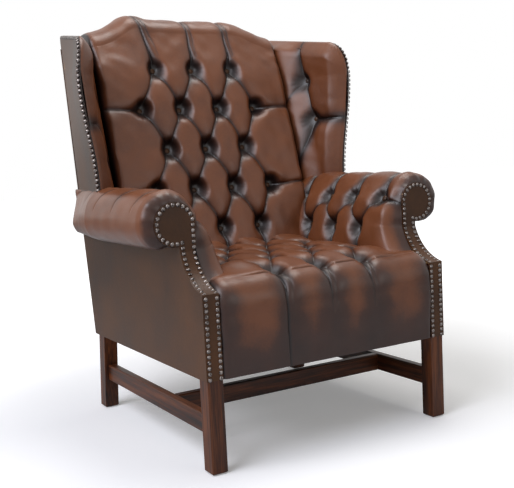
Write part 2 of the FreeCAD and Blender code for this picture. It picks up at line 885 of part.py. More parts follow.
def roll_section(y):
    """The roll behind the seat, outside the back: no inner face, only the round."""
    radius = roll_radius_at(y)
    gap = size("gap")
    centre = Vector(size("roll_across"), y, size("roll_top") - radius)
    inner = size("inner_frame") - gap
    under = Vector(size("inner_frame") + 34, y, size("roll_underside"))
    low = arm_rail_low() - gap
    high = arm_rail_low() + size("arm_rail_thick") + gap
    board = size("inner_frame") + size("arm_rail_width") + gap
    top = Vector(centre.x - 4, y, centre.z + radius)
    side = Vector(inner, y, centre.z + radius * 0.35)

    def rim(angle):
        turn = math.radians(angle)
        return centre + Vector(math.cos(turn), 0, math.sin(turn)) * radius

    outer = rim(0)
    edges = [
        bent(side, side + (top - side) / 2 + Vector(-4, 0, 5), top),
        bent(top, rim(45), outer),
        bent(outer, rim(-42), under),
    ]
    corners = [
        under, Vector(under.x, y, low), Vector(board, y, low), Vector(board, y, high),
        Vector(inner, y, high), side,
    ]
    edges += [line(a, b) for a, b in zip(corners, corners[1:])]
    return Part.Wire(edges)


def arm_stations():
    """Where the arm pad is drawn from front to rear: depth, kind and draw-in."""
    first = size("arm_first_button")
    kinds = ["upper", "between", "lower", "between"]
    front = size("neck_set") + size("gap")
    round_over = size("end_round")
    stations = [(front, "edge", round_over), (front + round_over, "edge", 0.0)]
    step = size("arm_pitch") / 4
    end = size("arm_inner_end")
    count = int((end - first) // step) + 1
    stations += [(first + step * i, kinds[i % 4], 0.0) for i in range(count)]
    if end - stations[-1][0] > step / 4:
        stations.append((end, "edge", 0.0))
    return stations


def wing_reach(height):
    """Distance of the wing's front edge from the middle: in at the arm, out above."""
    low = size("wing_low_height")
    full = size("wing_full_height")
    share = max((height - low) / (full - low), 0.0)
    narrow = size("wing_width_low")
    wide = size("wing_width_high")
    if share <= 1:
        return narrow + (wide - narrow) * 0.5 * (1 - math.cos(math.pi * share))
    return wide - (share - 1) * (wide - narrow) * 1.1


def wing_outside(y, height):
    """Outside face of the wing, ruled from its front edge to the rear corner."""
    rear = size("legs_width") / 2 + size("gap") + size("leather")
    start = size("wing_front")
    share = min((y - start) / (back_face(height) - start), 1.0)
    return wing_reach(height) + (rear - wing_reach(height)) * share


def wing_top(y):
    """Top of the wing at a depth: rounded at the front, a dip, then up to the crest."""
    start = size("wing_front")
    front = size("wing_top_front")
    dip = size("wing_top_dip")
    corner = 62.0
    if y < start + corner:
        share = 1 - (y - start) / corner
        return front - corner * 1.6 * (1 - math.sqrt(max(1 - share * share, 0)))
    valley = start + 155
    if y < valley:
        share = (y - start - corner) / (valley - start - corner)
        return front + (dip - front) * 0.5 * (1 - math.cos(math.pi * share))
    rear = back_face(size("crest_end_height"))
    share = min((y - valley) / (rear - valley), 1.0)
    return dip + (size("crest_end_height") - dip) * share


def upright(face, y, low, high):
    """Edges up a wing's face from low to high, broken at the flare's own heights."""
    full = size("wing_full_height")
    waist = (size("wing_low_height") + full) / 2
    breaks = [low, high]
    if low < full:
        arm = [size("wing_low_height")] if low < size("wing_low_height") else []
        breaks[1:1] = arm + [waist, min(full, (waist + high) / 2)]

    def at(height):
        return Vector(face(height), y, height)

    return [bent(at(a), at((a + b) / 2), at(b)) for a, b in zip(breaks, breaks[1:])]


def wing_thickness(y):
    """Thickness of the wing's padding, less towards the back post."""
    start = size("wing_front")
    share = min((y - start) / (post_front(size("wing_low_height")) - start), 1.0)
    return size("wing_thick") + (size("wing_rear_thick") - size("wing_thick")) * share


def wing_section(y, kind, slim=0.0, notched=False):
    """The wing's outline across: tufted inside, rolled top, plain or notched outside."""
    skin = size("leather") + size("gap") + slim / 3
    thick = wing_thickness(y) - slim
    last = size("wing_button_front") + size("wing_button_pitch")
    puff = size("wing_puff") * (1.0 if y < last + 1 else 0.0)
    base = size("wing_low_height") + size("gap")
    top = wing_top(y) - slim / 2
    shoulder = top - thick / 2
    low_row = min(size("wing_button_low"), shoulder - 30)
    high_row = min(size("wing_button_high"), shoulder - 20)

    def inside(height, sunk=0.0):
        return Vector(wing_outside(y, height) - skin - thick + sunk, y, height)

    def outside(height):
        return wing_outside(y, height) - skin

    if kind == "low":
        crease, rises = inside(low_row, puff), [puff * 0.6, puff]
    elif kind == "high":
        crease, rises = inside(high_row, puff), [puff, puff * 0.6]
    elif kind == "between":
        crease, rises = inside((low_row + high_row) / 2, puff * 0.6), [puff * 0.7, puff * 0.6]
    else:
        crease, rises = inside(low_row, puff * 0.4), [puff * 0.3, puff * 0.3]
    foot = inside(base, puff * 0.5)
    brow = inside(shoulder)
    side = Vector(outside(shoulder), y, shoulder)
    crown = Vector((brow.x + side.x) / 2, y, top)
    ease_in = Vector(thick * 0.12, 0, -thick * 0.14)
    round_in = Vector(brow.x, y, top) + ease_in
    round_out = Vector(side.x - thick * 0.12, y, round_in.z)
    plane = Vector(0, 1, 0)
    edges = [bowed(foot, crease, -rises[0], plane), bowed(crease, brow, -rises[1], plane)]
    edges += [bent(brow, round_in, crown), bent(crown, round_out, side)]
    if not notched:
        edges += list(reversed(upright(outside, y, base, shoulder)))
        edges.append(line(Vector(outside(base), y, base), foot))
        return Part.Wire(edges)
    lid = wing_top(y) - size("crest_cap") + size("gap")

    def framed(height):
        return outside(height) - 6 * size("gap") - size("wing_frame_thick")

    brink = Vector(outside(lid), y, lid)
    edges += [line(side, brink), line(brink, Vector(framed(lid), y, lid))]
    edges += list(reversed(upright(framed, y, base, lid)))
    edges.append(line(Vector(framed(base), y, base), foot))
    return Part.Wire(edges)


def wing_layer(y, cover, thick, low, under_top):
    """A layer of the wing, thick deep, that lies cover below its outside face."""
    def near(height):
        return wing_outside(y, height) - cover

    def far(height):
        return wing_outside(y, height) - cover - thick

    high = wing_top(y) - under_top
    edges = upright(near, y, low, high)
    edges.append(line(Vector(near(high), y, high), Vector(far(high), y, high)))
    edges += list(reversed(upright(far, y, low, high)))
    edges.append(line(Vector(far(low), y, low), Vector(near(low), y, low)))
    return Part.Wire(edges)


def leaning_cutter(line_at, low, high, ahead):
    """A wide slab ahead of, or behind, a leaning line of the back frame."""
    reach = 600.0
    wide = size("legs_width")
    sign = -1 if ahead else 1
    corners = [
        Vector(0, line_at(low), low), Vector(0, line_at(high), high),
        Vector(0, line_at(high) + sign * reach, high), Vector(0, line_at(low) + sign * reach, low),
    ]
    edges = [line(a, b) for a, b in zip(corners, corners[1:] + corners[:1])]
    return across_prism(edges, 0, wide)


def wings():
    """Tufted wing pads, their hidden posts and top rails, and the outside panels."""
    skin = size("leather")
    gap = size("gap")
    cover = skin + 2 * gap
    thick = size("wing_frame_thick")
    front = size("wing_front")
    base = size("wing_low_height")
    floor = arm_rail_low() + size("arm_rail_thick")
    tall = size("crest_height")
    post_start = front + 12
    post_end = post_start + size("board_thick") + 5
    low = size("wing_button_front")
    half = size("wing_button_pitch") / 4

    def limit(height):
        return post_front(height) - size("webbing_thick") - 2 * gap

    round_over = size("end_round")
    cells = [(front, "edge", round_over), (front + round_over / 2, "edge", round_over / 4)]
    cells += [(front + round_over * n, "edge", 0.0) for n in (3, 5)]
    cells += [(low, "low", 0.0), (low + half, "between", 0.0), (low + 2 * half, "high", 0.0)]
    cells += [(low + 3 * half, "between", 0.0), (low + 4 * half, "low", 0.0)]
    cells += [(low + 6 * half, "edge", 0.0), (back_face(tall), "edge", 0.0)]
    ahead = [cell for cell in cells if cell[0] < post_start - gap]
    ahead.append((post_start - gap, "edge", 0.0))
    behind = [ahead[-1]] + [cell for cell in cells if cell[0] > post_start + gap]
    roll = skinned([wing_section(*cell) for cell in ahead])
    pad = roll.fuse(skinned([wing_section(*cell, notched=True) for cell in behind]))
    depths = [y for y, _, _ in behind] + [back_face(tall) + 5]
    over_post = size("back_height") + gap
    pad = pad.cut(leaning_cutter(limit, base - 20, over_post, False))
    pad = pad.cut(leaning_cutter(back_face, over_post - 5, tall + 20, False))
    beside = size("legs_width") / 2 - size("leg_side") + gap
    inner_side = leaning_cutter(limit, base - 20, tall + 20, False)
    inner_side = inner_side.common(Part.makeBox(beside, 2 * tall, 2 * tall))
    pad = pad.cut(inner_side).cut(pockets(wing_button_places()))
    pad = shaped("wing_pad_right", max(pad.Solids, key=lambda solid: solid.Volume))
    mirrored(pad, "wing_pad_left")

    def layer(start, end, lowest, under):
        ys = [start] + [y for y in depths if start < y < end] + [end]
        return skinned([wing_layer(y, cover, thick, lowest(y), under) for y in ys])

    under = size("crest_cap") + 3
    post = layer(post_start, post_end, lambda y: floor, under)
    post = shaped("wing_post_right", post)
    mirrored(post, "wing_post_left")
    rail_drop = under + size("back_rail_width")
    rail = layer(post_end + gap, back_face(tall), lambda y: wing_top(y) - rail_drop, under)
    rail = rail.cut(leaning_cutter(post_front, base, tall + 20, False))
    rail = shaped("wing_rail_right", rail)
    mirrored(rail, "wing_rail_left")

    ys = [front + 2] + [y for y in depths if y > front + 2]
    panel = skinned([
        wing_layer(y, 0, skin, base + gap, size("wing_thick") / 2) for y in ys
    ])
    panel = panel.cut(leaning_cutter(back_face, base - 20, tall + 60, False))
    panel = shaped("outside_wing_right", panel)
    mirrored(panel, "outside_wing_left")
    return skinned([
        wing_layer(y, cover - gap, thick + 2 * gap, floor - 5, 50)
        for y in (post_start - gap, post_end + gap)
    ])


def arm_pads(post_slot):
    """The tufted arms: inner face and roll in one, slotted for the frame inside."""
    gap = size("gap")
    pad = skinned([arm_section(y, kind, shrink) for y, kind, shrink in arm_stations()])
    end = arm_stations()[-1][0]
    rear = back_face(size("wing_low_height")) + gap
    tail = skinned([roll_section(y) for y in (end, rear)])
    tail = tail.cut(leaning_cutter(back_face, size("rail_bottom"), size("crest_height"), False))
    pad = pad.fuse(tail)
    face = size("neck_set") + gap
    back = face + size("arm_board_thick") + gap
    centre = Vector(size("scroll_across"), 0, size("scroll_height"))
    disc = Part.makeCylinder(size("scroll_radius") + gap, back, centre, Vector(0, 1, 0))
    strip = Part.makeBox(
        size("leg_side") + 2 * gap, back, size("scroll_height"),
        Vector(size("legs_width") / 2 - size("leg_side") - gap, 0, 0),
    )
    high = size("wing_low_height")

    def slot(height):
        return post_front(height) - gap

    post = leaning_cutter(slot, size("rail_bottom"), high + 10, False)
    post = post.common(Part.makeBox(
        size("leg_side") + 4 * gap, 2 * size("legs_depth"), high,
        Vector(size("legs_width") / 2 - size("leg_side") - 3 * gap, 0, 0),
    ))
    pad = pad.cut(disc.fuse(strip)).cut(post).cut(post_slot).cut(pockets(arm_button_places()))
    pad = shaped("arm_pad_right", max(pad.Solids, key=lambda solid: solid.Volume))
    mirrored(pad, "arm_pad_left")


def wire_run(start, end):
    """One straight run of square-drawn spring wire, lapped at both ends."""
    half = size("wire") / 2
    run = end - start
    run.normalize()
    out = Vector(0, 0, 1).cross(run) * half
    near = start - run * half
    far = end + run * half
    corners = [near + out, far + out, far - out, near - out]
    face = Part.Face(Part.makePolygon(corners + corners[:1]))
    return face.extrude(Vector(0, 0, size("wire")))


def seat_springs():
    """Sinuous wire springs from front rail to back rail, and the clips that hold them."""
    gap = size("gap")
    wire = size("wire")
    clip = size("clip_side")
    front = size("front_rail_set") + size("rail_thick") / 2
    rear = size("legs_depth") - size("rail_thick") / 2
    height = size("rail_bottom") + size("rail_height")
    side = size("spring_width") / 2
    start = front + clip / 2 + wire
    reach = rear - front - clip - 2 * wire
    runs = int(reach // size("spring_pitch"))
    step = reach / runs
    springs = []
    clips = []
    for n in (-2, -1, 0, 1, 2):
        middle = n * size("spring_spacing")
        path = [Vector(middle, front, 0), Vector(middle, start, 0)]
        for i in range(runs):
            hand = side if i % 2 else -side
            near = start + i * step
            path += [Vector(middle + hand, near + step * share, 0) for share in (0.2, 0.8)]
        path += [Vector(middle, start + reach, 0), Vector(middle, rear, 0)]
        runs_of_wire = [wire_run(a, b) for a, b in zip(path, path[1:])]
        springs.append(runs_of_wire[0].multiFuse(runs_of_wire[1:]).removeSplitter())
        for y in (front, rear):
            corner = Vector(middle - clip / 2, y - clip / 2, 0)
            body = Part.makeBox(clip, clip, size("clip_height"), corner)
            slot = Part.makeBox(
                wire + 2 * gap, clip, wire + 2 * gap, Vector(middle - wire / 2 - gap, corner.y, 0)
            )
            clips.append(body.cut(slot))
    for node, solids, lift in (("seat_springs", springs, gap), ("spring_clips", clips, 0)):
        group = Part.Compound(solids)
        group.translate(Vector(0, 0, height + lift))
        shaped(node, group)


def cloths():
    """Hessian over the springs under the seat's stuffing, and the dust cover below."""
    block(
        "seat_hessian",
        ("-seat_half", "front_rail_set", "rail_bottom + rail_height + clip_height + gap"),
        ("2 * seat_half", "legs_depth - 2 * leg_side", "webbing_thick"),
    )
    block(
        "dust_cover",
        (f"-({LEG_IN})", "leg_side + gap", "rail_bottom - webbing_thick"),
        (f"2 * ({LEG_IN})", "legs_depth - 2 * leg_side - 2 * gap", "webbing_thick"),
    )


legs()
stretchers()
seat_rails()
corner_blocks()
glides()
back_frame()
back_webbing()
arm_front()
arm_rails()
seat_pad()
back_pad()
outside_back()
post_slot = wings()
arm_pads(post_slot)
buttons()
seat_springs()
cloths()
doc.recompute()

os.makedirs("parts", exist_ok=True)
faults = [item.Name for item in doc.Objects if {"Invalid", "Error"} & set(item.State)]
for item in NODES:
    if item.Shape.isNull() or not item.Shape.isValid() or not item.Shape.Solids:
        faults.append(item.Label)
if faults:
    raise RuntimeError(f"sub-parts failed: {faults}")
for item in NODES:
    item.Shape.exportStep(f"parts/{item.Label}.step")
    box = item.Shape.BoundBox
    print(f"{item.Label}: {item.Shape.Volume / 1000:.0f} cm3, Y {box.YMin:.1f} to {box.YMax:.1f}")
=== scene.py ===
"""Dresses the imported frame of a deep-buttoned wingback armchair.

The padded leather is drawn from the frame's own sizes: each pad is a base surface at
the depth of its buttons, raised into puffs between the folds of its tufting. Sizes are
in millimetres, with depths counted from the front legs' face, until a mesh is made.
"""
import logging
import math
from dataclasses import dataclass, field
from enum import Enum
from typing import Callable, ClassVar, Sequence

import bpy
import numpy as np
from mathutils import Matrix, Vector


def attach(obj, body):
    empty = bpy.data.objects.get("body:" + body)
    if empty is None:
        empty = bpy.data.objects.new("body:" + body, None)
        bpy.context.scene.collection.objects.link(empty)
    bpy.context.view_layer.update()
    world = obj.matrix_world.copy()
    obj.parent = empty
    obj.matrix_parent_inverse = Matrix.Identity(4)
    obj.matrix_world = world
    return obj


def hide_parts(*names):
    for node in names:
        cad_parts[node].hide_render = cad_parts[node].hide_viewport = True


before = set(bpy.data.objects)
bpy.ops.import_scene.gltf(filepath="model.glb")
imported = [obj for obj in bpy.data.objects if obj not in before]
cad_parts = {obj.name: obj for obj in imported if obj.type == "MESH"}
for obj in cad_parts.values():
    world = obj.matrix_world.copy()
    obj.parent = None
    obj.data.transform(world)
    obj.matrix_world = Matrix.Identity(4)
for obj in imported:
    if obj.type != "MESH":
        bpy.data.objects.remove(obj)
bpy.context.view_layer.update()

LOG = logging.getLogger("armchair")
ORIGIN_BEHIND_FRONT = 401.5
MILLIMETRE = 0.001

Array = np.ndarray
Spot = tuple[float, float]
Place = tuple[float, float, float]
Surface = Callable[[Array, Array], Array]
Socket = bpy.types.NodeSocket


class Tone(Enum):
    """Colours of the chair's materials, as they look."""

    # Painted shade: the near black of the folds' lines and the buttons' pits.
    LEATHER_CREASE_SHADE = "#070303"
    LEATHER_FLANK = "#1d0d08"
    LEATHER_BODY = "#3a1d10"
    LEATHER_CROWN = "#6b3c20"
    PANEL_DARK = "#2a180b"
    PANEL_LIGHT = "#503015"
    TIMBER_DARK = "#1b0c05"
    TIMBER_BODY = "#45210d"
    TIMBER_LIGHT = "#6f3c1a"
    PEWTER_DARK = "#2c2726"
    PEWTER = "#8f8783"
    BEECH = "#b89468"
    BEECH_DARK = "#a37f55"
    STEEL = "#8d8e90"
    STEEL_DARK = "#5c5d60"
    JUTE = "#9a8055"
    JUTE_DARK = "#7d653f"
    LINING = "#151414"
    LINING_LIGHT = "#262424"
    GLIDE = "#4b4038"
    FLOOR = "#f4f4f4"
    WORLD_LOW = "#b8b8bc"
    WORLD_HIGH = "#eef0f4"
    LAMP_COOL = "#f2f4ff"
    LAMP_NEUTRAL = "#fffdfa"


def linear(tone: Tone) -> tuple[float, float, float, float]:
    """Turns a colour as it looks into the linear colour that nodes expect.

    Args:
        tone: The colour, written as sRGB in hexadecimal.

    Returns:
        Red, green, blue and an alpha of one.
    """
    channels = (int(tone.value[i:i + 2], 16) / 255 for i in (1, 3, 5))
    red, green, blue = (
        c / 12.92 if c <= 0.04045 else ((c + 0.055) / 1.055) ** 2.4 for c in channels
    )
    return red, green, blue, 1.0


def smooth(low: float, high: float, x: Array) -> Array:
    """A soft step from 0 at low to 1 at high."""
    share = np.clip((x - low) / (high - low), 0.0, 1.0)
    return share * share * (3 - 2 * share)


def round_over(x: Array) -> Array:
    """Height of a quarter circle at a share of its radius from the edge."""
    return np.sqrt(np.clip(1 - (1 - np.clip(x, 0.0, 1.0)) ** 2, 0.0, 1.0))


def wear_and_shade(clear: Array, share: Array) -> Array:
    """How far the finish is rubbed, little in the folds and most on the puffs' crowns, darkened by the
    painted shade of the folds and pits that clear holds.
    """
    return clear * (0.3 + 0.7 * smooth(0.3, 1.0, share))


def to_frame(at: Array, mirror: bool = False) -> Array:
    """Turns places in millimetres into metres of the frame, mirrored where asked."""
    flip = (-1.0 if mirror else 1.0, 1.0, 1.0)
    return (at - (0, ORIGIN_BEHIND_FRONT, 0)) * flip * MILLIMETRE


def side_name(mirror: bool) -> str:
    """The end of a piece's name that says which side it is on."""
    return "left" if mirror else "right"


def ripple(u: Array, v: Array, scale: float, seed: int) -> Array:
    """Soft uneven waves, about one high, as leather and stuffing have them.

    Args:
        u: First place on the surface, in millimetres.
        v: Second place on the surface, in millimetres.
        scale: Usual distance between two waves, in millimetres.
        seed: Picks one of the patterns.

    Returns:
        The height of the waves at each place, from about -1 to 1.
    """
    rng = np.random.default_rng(seed)
    total = np.zeros(np.broadcast(u, v).shape)
    waves = 7
    for _ in range(waves):
        turn, phase = rng.uniform(0, math.tau), rng.uniform(0, math.tau)
        wave = math.tau * rng.uniform(0.6, 1.7) / scale
        total += np.sin(wave * (u * math.cos(turn) + v * math.sin(turn)) + phase)
    return total / (waves / 2)


def across(grid: Array) -> Array:
    """Directions square to a grid of places.

    Args:
        grid: The places, by row and column.

    Returns:
        One unit direction for each place.
    """
    out = np.cross(np.gradient(grid, axis=0), np.gradient(grid, axis=1))
    return out / np.maximum(np.linalg.norm(out, axis=2, keepdims=True), 1e-9)


@dataclass(frozen=True)
class Crease:
    """A fold of the tufting between two places of a pad's surface.

    A fold is measured as a few straight runs. The leather rises from it as a rounded
    swell, by its fullness and steepness.

    Attributes:
        start: Where the fold begins, usually at a button.
        end: Where it ends.
        rises: Share of the puff's height that the fold keeps at its start, middle and end.
        reach: Distance over which the leather rises to its full height, in millimetres.
        bow: How far the fold bends to its left at its middle, in millimetres.
        groove: Depth of the crisp line that a lapped pleat shows, in millimetres.
    """

    RUNS: ClassVar[int] = 8
    FULLNESS: ClassVar[float] = 2.2
    STEEPNESS: ClassVar[float] = 0.55

    start: Spot
    end: Spot
    rises: tuple[float, float, float] = (0.0, 0.66, 0.0)
    reach: float = 42.0
    bow: float = 0.0
    groove: float = 0.0

    def measure(self, u: Array, v: Array) -> tuple[Array, Array]:
        """Distance of each place to the fold, and its share of the way along.

        Args:
            u: First place on the surface, in millimetres.
            v: Second place on the surface, in millimetres.

        Returns:
            Distances in millimetres, and shares from 0 to 1.
        """
        share = np.linspace(0, 1, self.RUNS + 1)
        run = np.subtract(self.end, self.start)
        left = np.array([-run[1], run[0]]) / max(float(np.hypot(*run)), 1e-6)
        bulge = 4 * share * (1 - share) * self.bow
        line = np.outer(1 - share, self.start) + np.outer(share, self.end) + np.outer(bulge, left)
        nearest = np.full(u.shape, np.inf)
        along = np.zeros(u.shape)
        for i in range(self.RUNS):
            ax, ay = line[i]
            bx, by = line[i + 1] - line[i]
            part = np.clip(((u - ax) * bx + (v - ay) * by) / (bx * bx + by * by), 0, 1)
            away = np.hypot(u - ax - part * bx, v - ay - part * by)
            closer = away < nearest
            nearest = np.where(closer, away, nearest)
            along = np.where(closer, (i + part) / self.RUNS, along)
        return nearest, along

    def share_left(self, distance: Array, along: Array) -> Array:
        """Share of the full puff that this fold leaves at each place.

        Args:
            distance: Distance to the fold, in millimetres.
            along: Share of the way along it.

        Returns:
            Shares from 0 to 1.
        """
        first, middle, last = self.rises
        keep = first * (1 - along) * (1 - 2 * along) + 4 * middle * along * (1 - along)
        keep = np.clip(keep + last * along * (2 * along - 1), 0, 1)
        swell = 1 - (1 - np.clip(distance / self.reach, 0, 1)) ** self.FULLNESS
        return keep + (1 - keep) * swell ** self.STEEPNESS

    def turned(self) -> "Crease":
        """The same fold on a map whose second place counts the other way."""
        start, end = (self.start[0], -self.start[1]), (self.end[0], -self.end[1])
        return Crease(start, end, bow=-self.bow)


@dataclass
class Tufting:
    """The folds and buttons of one pad, on its own flat map of the surface.

    The capitals are sizes in millimetres and shares that every pad has in common: the
    radius of a button's pit and of its painted shade, how far the folds stray, the width of a lapped
    pleat's line and of the painted shade beside it, the fan of fine wrinkles round each button, and how
    strongly buttons and painted shade act.

    Attributes:
        creases: The folds.
        buttons: Where its buttons sit.
        seed: Picks the pattern of its unevenness.
        hang: How far each dimple's deepest place, where its painted shade is centred, lies from its
            button, in millimetres.
    """

    PIT: ClassVar[float] = 15.0
    STRAY: ClassVar[float] = 1.6
    STRAY_LENGTH: ClassVar[float] = 95.0
    UNEVEN_LENGTH: ClassVar[float] = 130.0
    GROOVE_WIDTH: ClassVar[float] = 2.6
    CREASE_SHADE_WIDTH: ClassVar[float] = 2.8
    PIT_SHADE_WIDTH: ClassVar[float] = 13.0
    WRINKLES: ClassVar[int] = 11
    WRINKLE_RADIUS: ClassVar[float] = 22.0
    WRINKLE_WIDTH: ClassVar[float] = 9.0
    WRINKLE_HEIGHT: ClassVar[float] = 0.4
    BUTTON_PULL: ClassVar[float] = 0.6
    DEEPEST_PULL: ClassVar[float] = 0.9
    CREASE_SHADE_STRENGTH: ClassVar[float] = 0.85
    PIT_SHADE_STRENGTH: ClassVar[float] = 0.75
    UNEVENNESS: ClassVar[float] = 0.05

    creases: list[Crease]
    buttons: list[Spot]
    seed: int = 1
    hang: Spot = (0.0, 0.0)

    def relief(self, u: Array, v: Array) -> tuple[Array, Array, Array]:
        """Shape of the puffs over the surface.

        Args:
            u: First place on the surface, in millimetres.
            v: Second place on the surface, in millimetres.

        Returns:
            Share of the puff's full height, small wrinkles and grooves in millimetres, and
            how far the place is clear of the painted shade of the folds and the buttons' pits, from 0 to
            1.
        """
        wander_u = u + self.STRAY * ripple(u, v, self.STRAY_LENGTH, self.seed)
        wander_v = v + self.STRAY * ripple(u, v, self.STRAY_LENGTH, self.seed + 1)
        share = np.ones(u.shape)
        detail = np.zeros(u.shape)
        clear = np.ones(u.shape)
        for crease in self.creases:
            distance, along = crease.measure(wander_u, wander_v)
            share = share * crease.share_left(distance, along)
            detail = detail - crease.groove * np.exp(-(distance / self.GROOVE_WIDTH) ** 2)
            # Painted shade: a dark line along each fold, weaker where the fold stays shallow.
            fade = crease.rises[1] + (crease.rises[2] - crease.rises[1]) * smooth(0.5, 1.0, along)
            crease_shade = np.exp(-(distance / self.CREASE_SHADE_WIDTH) ** 2) * (1 - np.clip(fade, 0, 1))
            clear = clear * (1 - self.CREASE_SHADE_STRENGTH * crease_shade)
        for n, (bu, bv) in enumerate(self.buttons):
            away = np.hypot(u - bu, v - bv)
            deep = np.hypot(u - bu - self.hang[0], v - bv - self.hang[1])
            share = share * (1 - self.DEEPEST_PULL * np.exp(-(deep / self.PIT) ** 2))
            share = share * (1 - self.BUTTON_PULL * np.exp(-(away / self.PIT) ** 2))
            fan = np.cos(self.WRINKLES * np.arctan2(v - bv, u - bu) + n)
            fan = fan * np.exp(-((away - self.WRINKLE_RADIUS) / self.WRINKLE_WIDTH) ** 2)
            detail = detail + self.WRINKLE_HEIGHT * fan * np.clip(share * 4, 0, 1)
            # Painted shade in each button's pit, centred on the dimple's deepest place.
            clear = clear * (1 - self.PIT_SHADE_STRENGTH * np.exp(-(deep / self.PIT_SHADE_WIDTH) ** 2))
        uneven = 1 + self.UNEVENNESS * ripple(u, v, self.UNEVEN_LENGTH, self.seed + 2)
        return share * uneven, detail, clear


def declare(piece: bpy.types.Object, nodes: Sequence[str]) -> None:
    """Seats a piece on the frame and hides the solids that it stands for.

    Args:
        piece: The finished piece.
        nodes: The solids, or none for small fasteners.
    """
    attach(piece, "root")
    if nodes:
        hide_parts(*nodes)


@dataclass
class Pad:
    """A padded piece of leather, drawn as rings that close round its back.

    Attributes:
        name: Name of the finished piece.
        node: The solid it stands for.
        points: Rings of places, in millimetres from the front legs' face.
        crown: How far each place is out of the folds, from 0 to 1, with the painted shade of the folds and
            the buttons' pits.
        fill: How tight it is stuffed, from 0 to 1, or None for a plain sheet. Not used.
        mirror: Whether it is the left-hand twin.
        inward: Whether the rings run the other way round.
        inside: Other solids that it wraps.
    """

    FOLD_CONTRAST: ClassVar[float] = 0.04

    name: str
    node: str
    points: Array
    crown: Array
    fill: float | None = 0.8
    mirror: bool = False
    inward: bool = False
    inside: tuple[str, ...] = ()

    def build(self, material: bpy.types.Material) -> bpy.types.Object:
        """Args:
            material: The leather.

        Returns:
            The finished piece.
        """
        mesh = bpy.data.meshes.new(self.name)
        at = to_frame(self.points.reshape(-1, 3), self.mirror)
        mesh.from_pydata(at.tolist(), [], self.faces())
        tone = mesh.attributes.new("crown", "FLOAT", "POINT")
        tone.data.foreach_set("value", self.crown.ravel().astype(np.float32))
        mesh.shade_smooth()
        mesh.validate()
        piece = bpy.data.objects.new(self.name, mesh)
        bpy.context.collection.objects.link(piece)
        mesh.materials.append(material)
        declare(piece, (self.node, *self.inside))
        LOG.info("%s: %d faces", self.name, len(mesh.polygons))
        return piece

    def faces(self) -> list[list[int]]:
        """Faces between the rings and over both ends, all pointing outwards.

        Returns:
            Corners of each face.
        """
        rings, around = self.crown.shape
        ring = np.arange(rings - 1)[:, None] * around
        spot = np.arange(around)[None, :]
        after = (spot + 1) % around
        corner = [ring + spot, ring + around + spot, ring + around + after, ring + after]
        quads = np.stack([c.ravel() for c in corner], axis=1)
        turned = self.mirror != self.inward
        if turned:
            quads = quads[:, ::-1]
        ends = [list(range(around)), list(range((rings - 1) * around, rings * around))[::-1]]
        return self.split(quads) + [end[::-1] if turned else end for end in ends]

    def split(self, quads: Array) -> list[list[int]]:
        """Splits the four-cornered faces that a fold crosses along the fold.

        Args:
            quads: Corners of the faces.

        Returns:
            The faces, of three or four corners each.
        """
        tone = self.crown.ravel()[quads]
        first = tone[:, 0] + tone[:, 2]
        second = tone[:, 1] + tone[:, 3]
        crossed = np.abs(first - second) > self.FOLD_CONTRAST
        faces = quads[~crossed].tolist()
        for quad, along_first in zip(quads[crossed].tolist(), (first < second)[crossed]):
            a, b, c, d = quad
            faces += [[a, b, c], [a, c, d]] if along_first else [[a, b, d], [b, c, d]]
        return faces


class Line:
    """A smooth line through chosen places, followed by its length."""

    STEPS = 24

    def __init__(self, places: Sequence[Spot], origin: int = 0) -> None:
        """Draws the line.

        Args:
            places: The places that the line passes through.
            origin: Which of them counts as length zero.
        """
        knots = np.array(places, dtype=float)
        padded = np.vstack([2 * knots[0] - knots[1], knots, 2 * knots[-1] - knots[-2]])
        share = np.linspace(0, 1, self.STEPS, endpoint=False)[:, None]
        runs = []
        for a, b, c, d in zip(padded, padded[1:], padded[2:], padded[3:]):
            runs.append(0.5 * (
                2 * b + (c - a) * share + (2 * a - 5 * b + 4 * c - d) * share ** 2
                + (3 * b - a - 3 * c + d) * share ** 3
            ))
        self.places = np.vstack(runs + [knots[-1:]])
        steps = np.hypot(*np.diff(self.places, axis=0).T)
        self.lengths = np.concatenate([[0], np.cumsum(steps)])
        self.lengths -= self.lengths[origin * self.STEPS]

    def at(self, length: Array) -> tuple[Array, Array]:
        """Both coordinates of the line at each length."""
        first = np.interp(length, self.lengths, self.places[:, 0])
        return first, np.interp(length, self.lengths, self.places[:, 1])

    def length_near(self, place: Spot) -> float:
        """Length of the line at its point nearest to a place."""
        return float(self.lengths[np.argmin(np.hypot(*(self.places - place).T))])


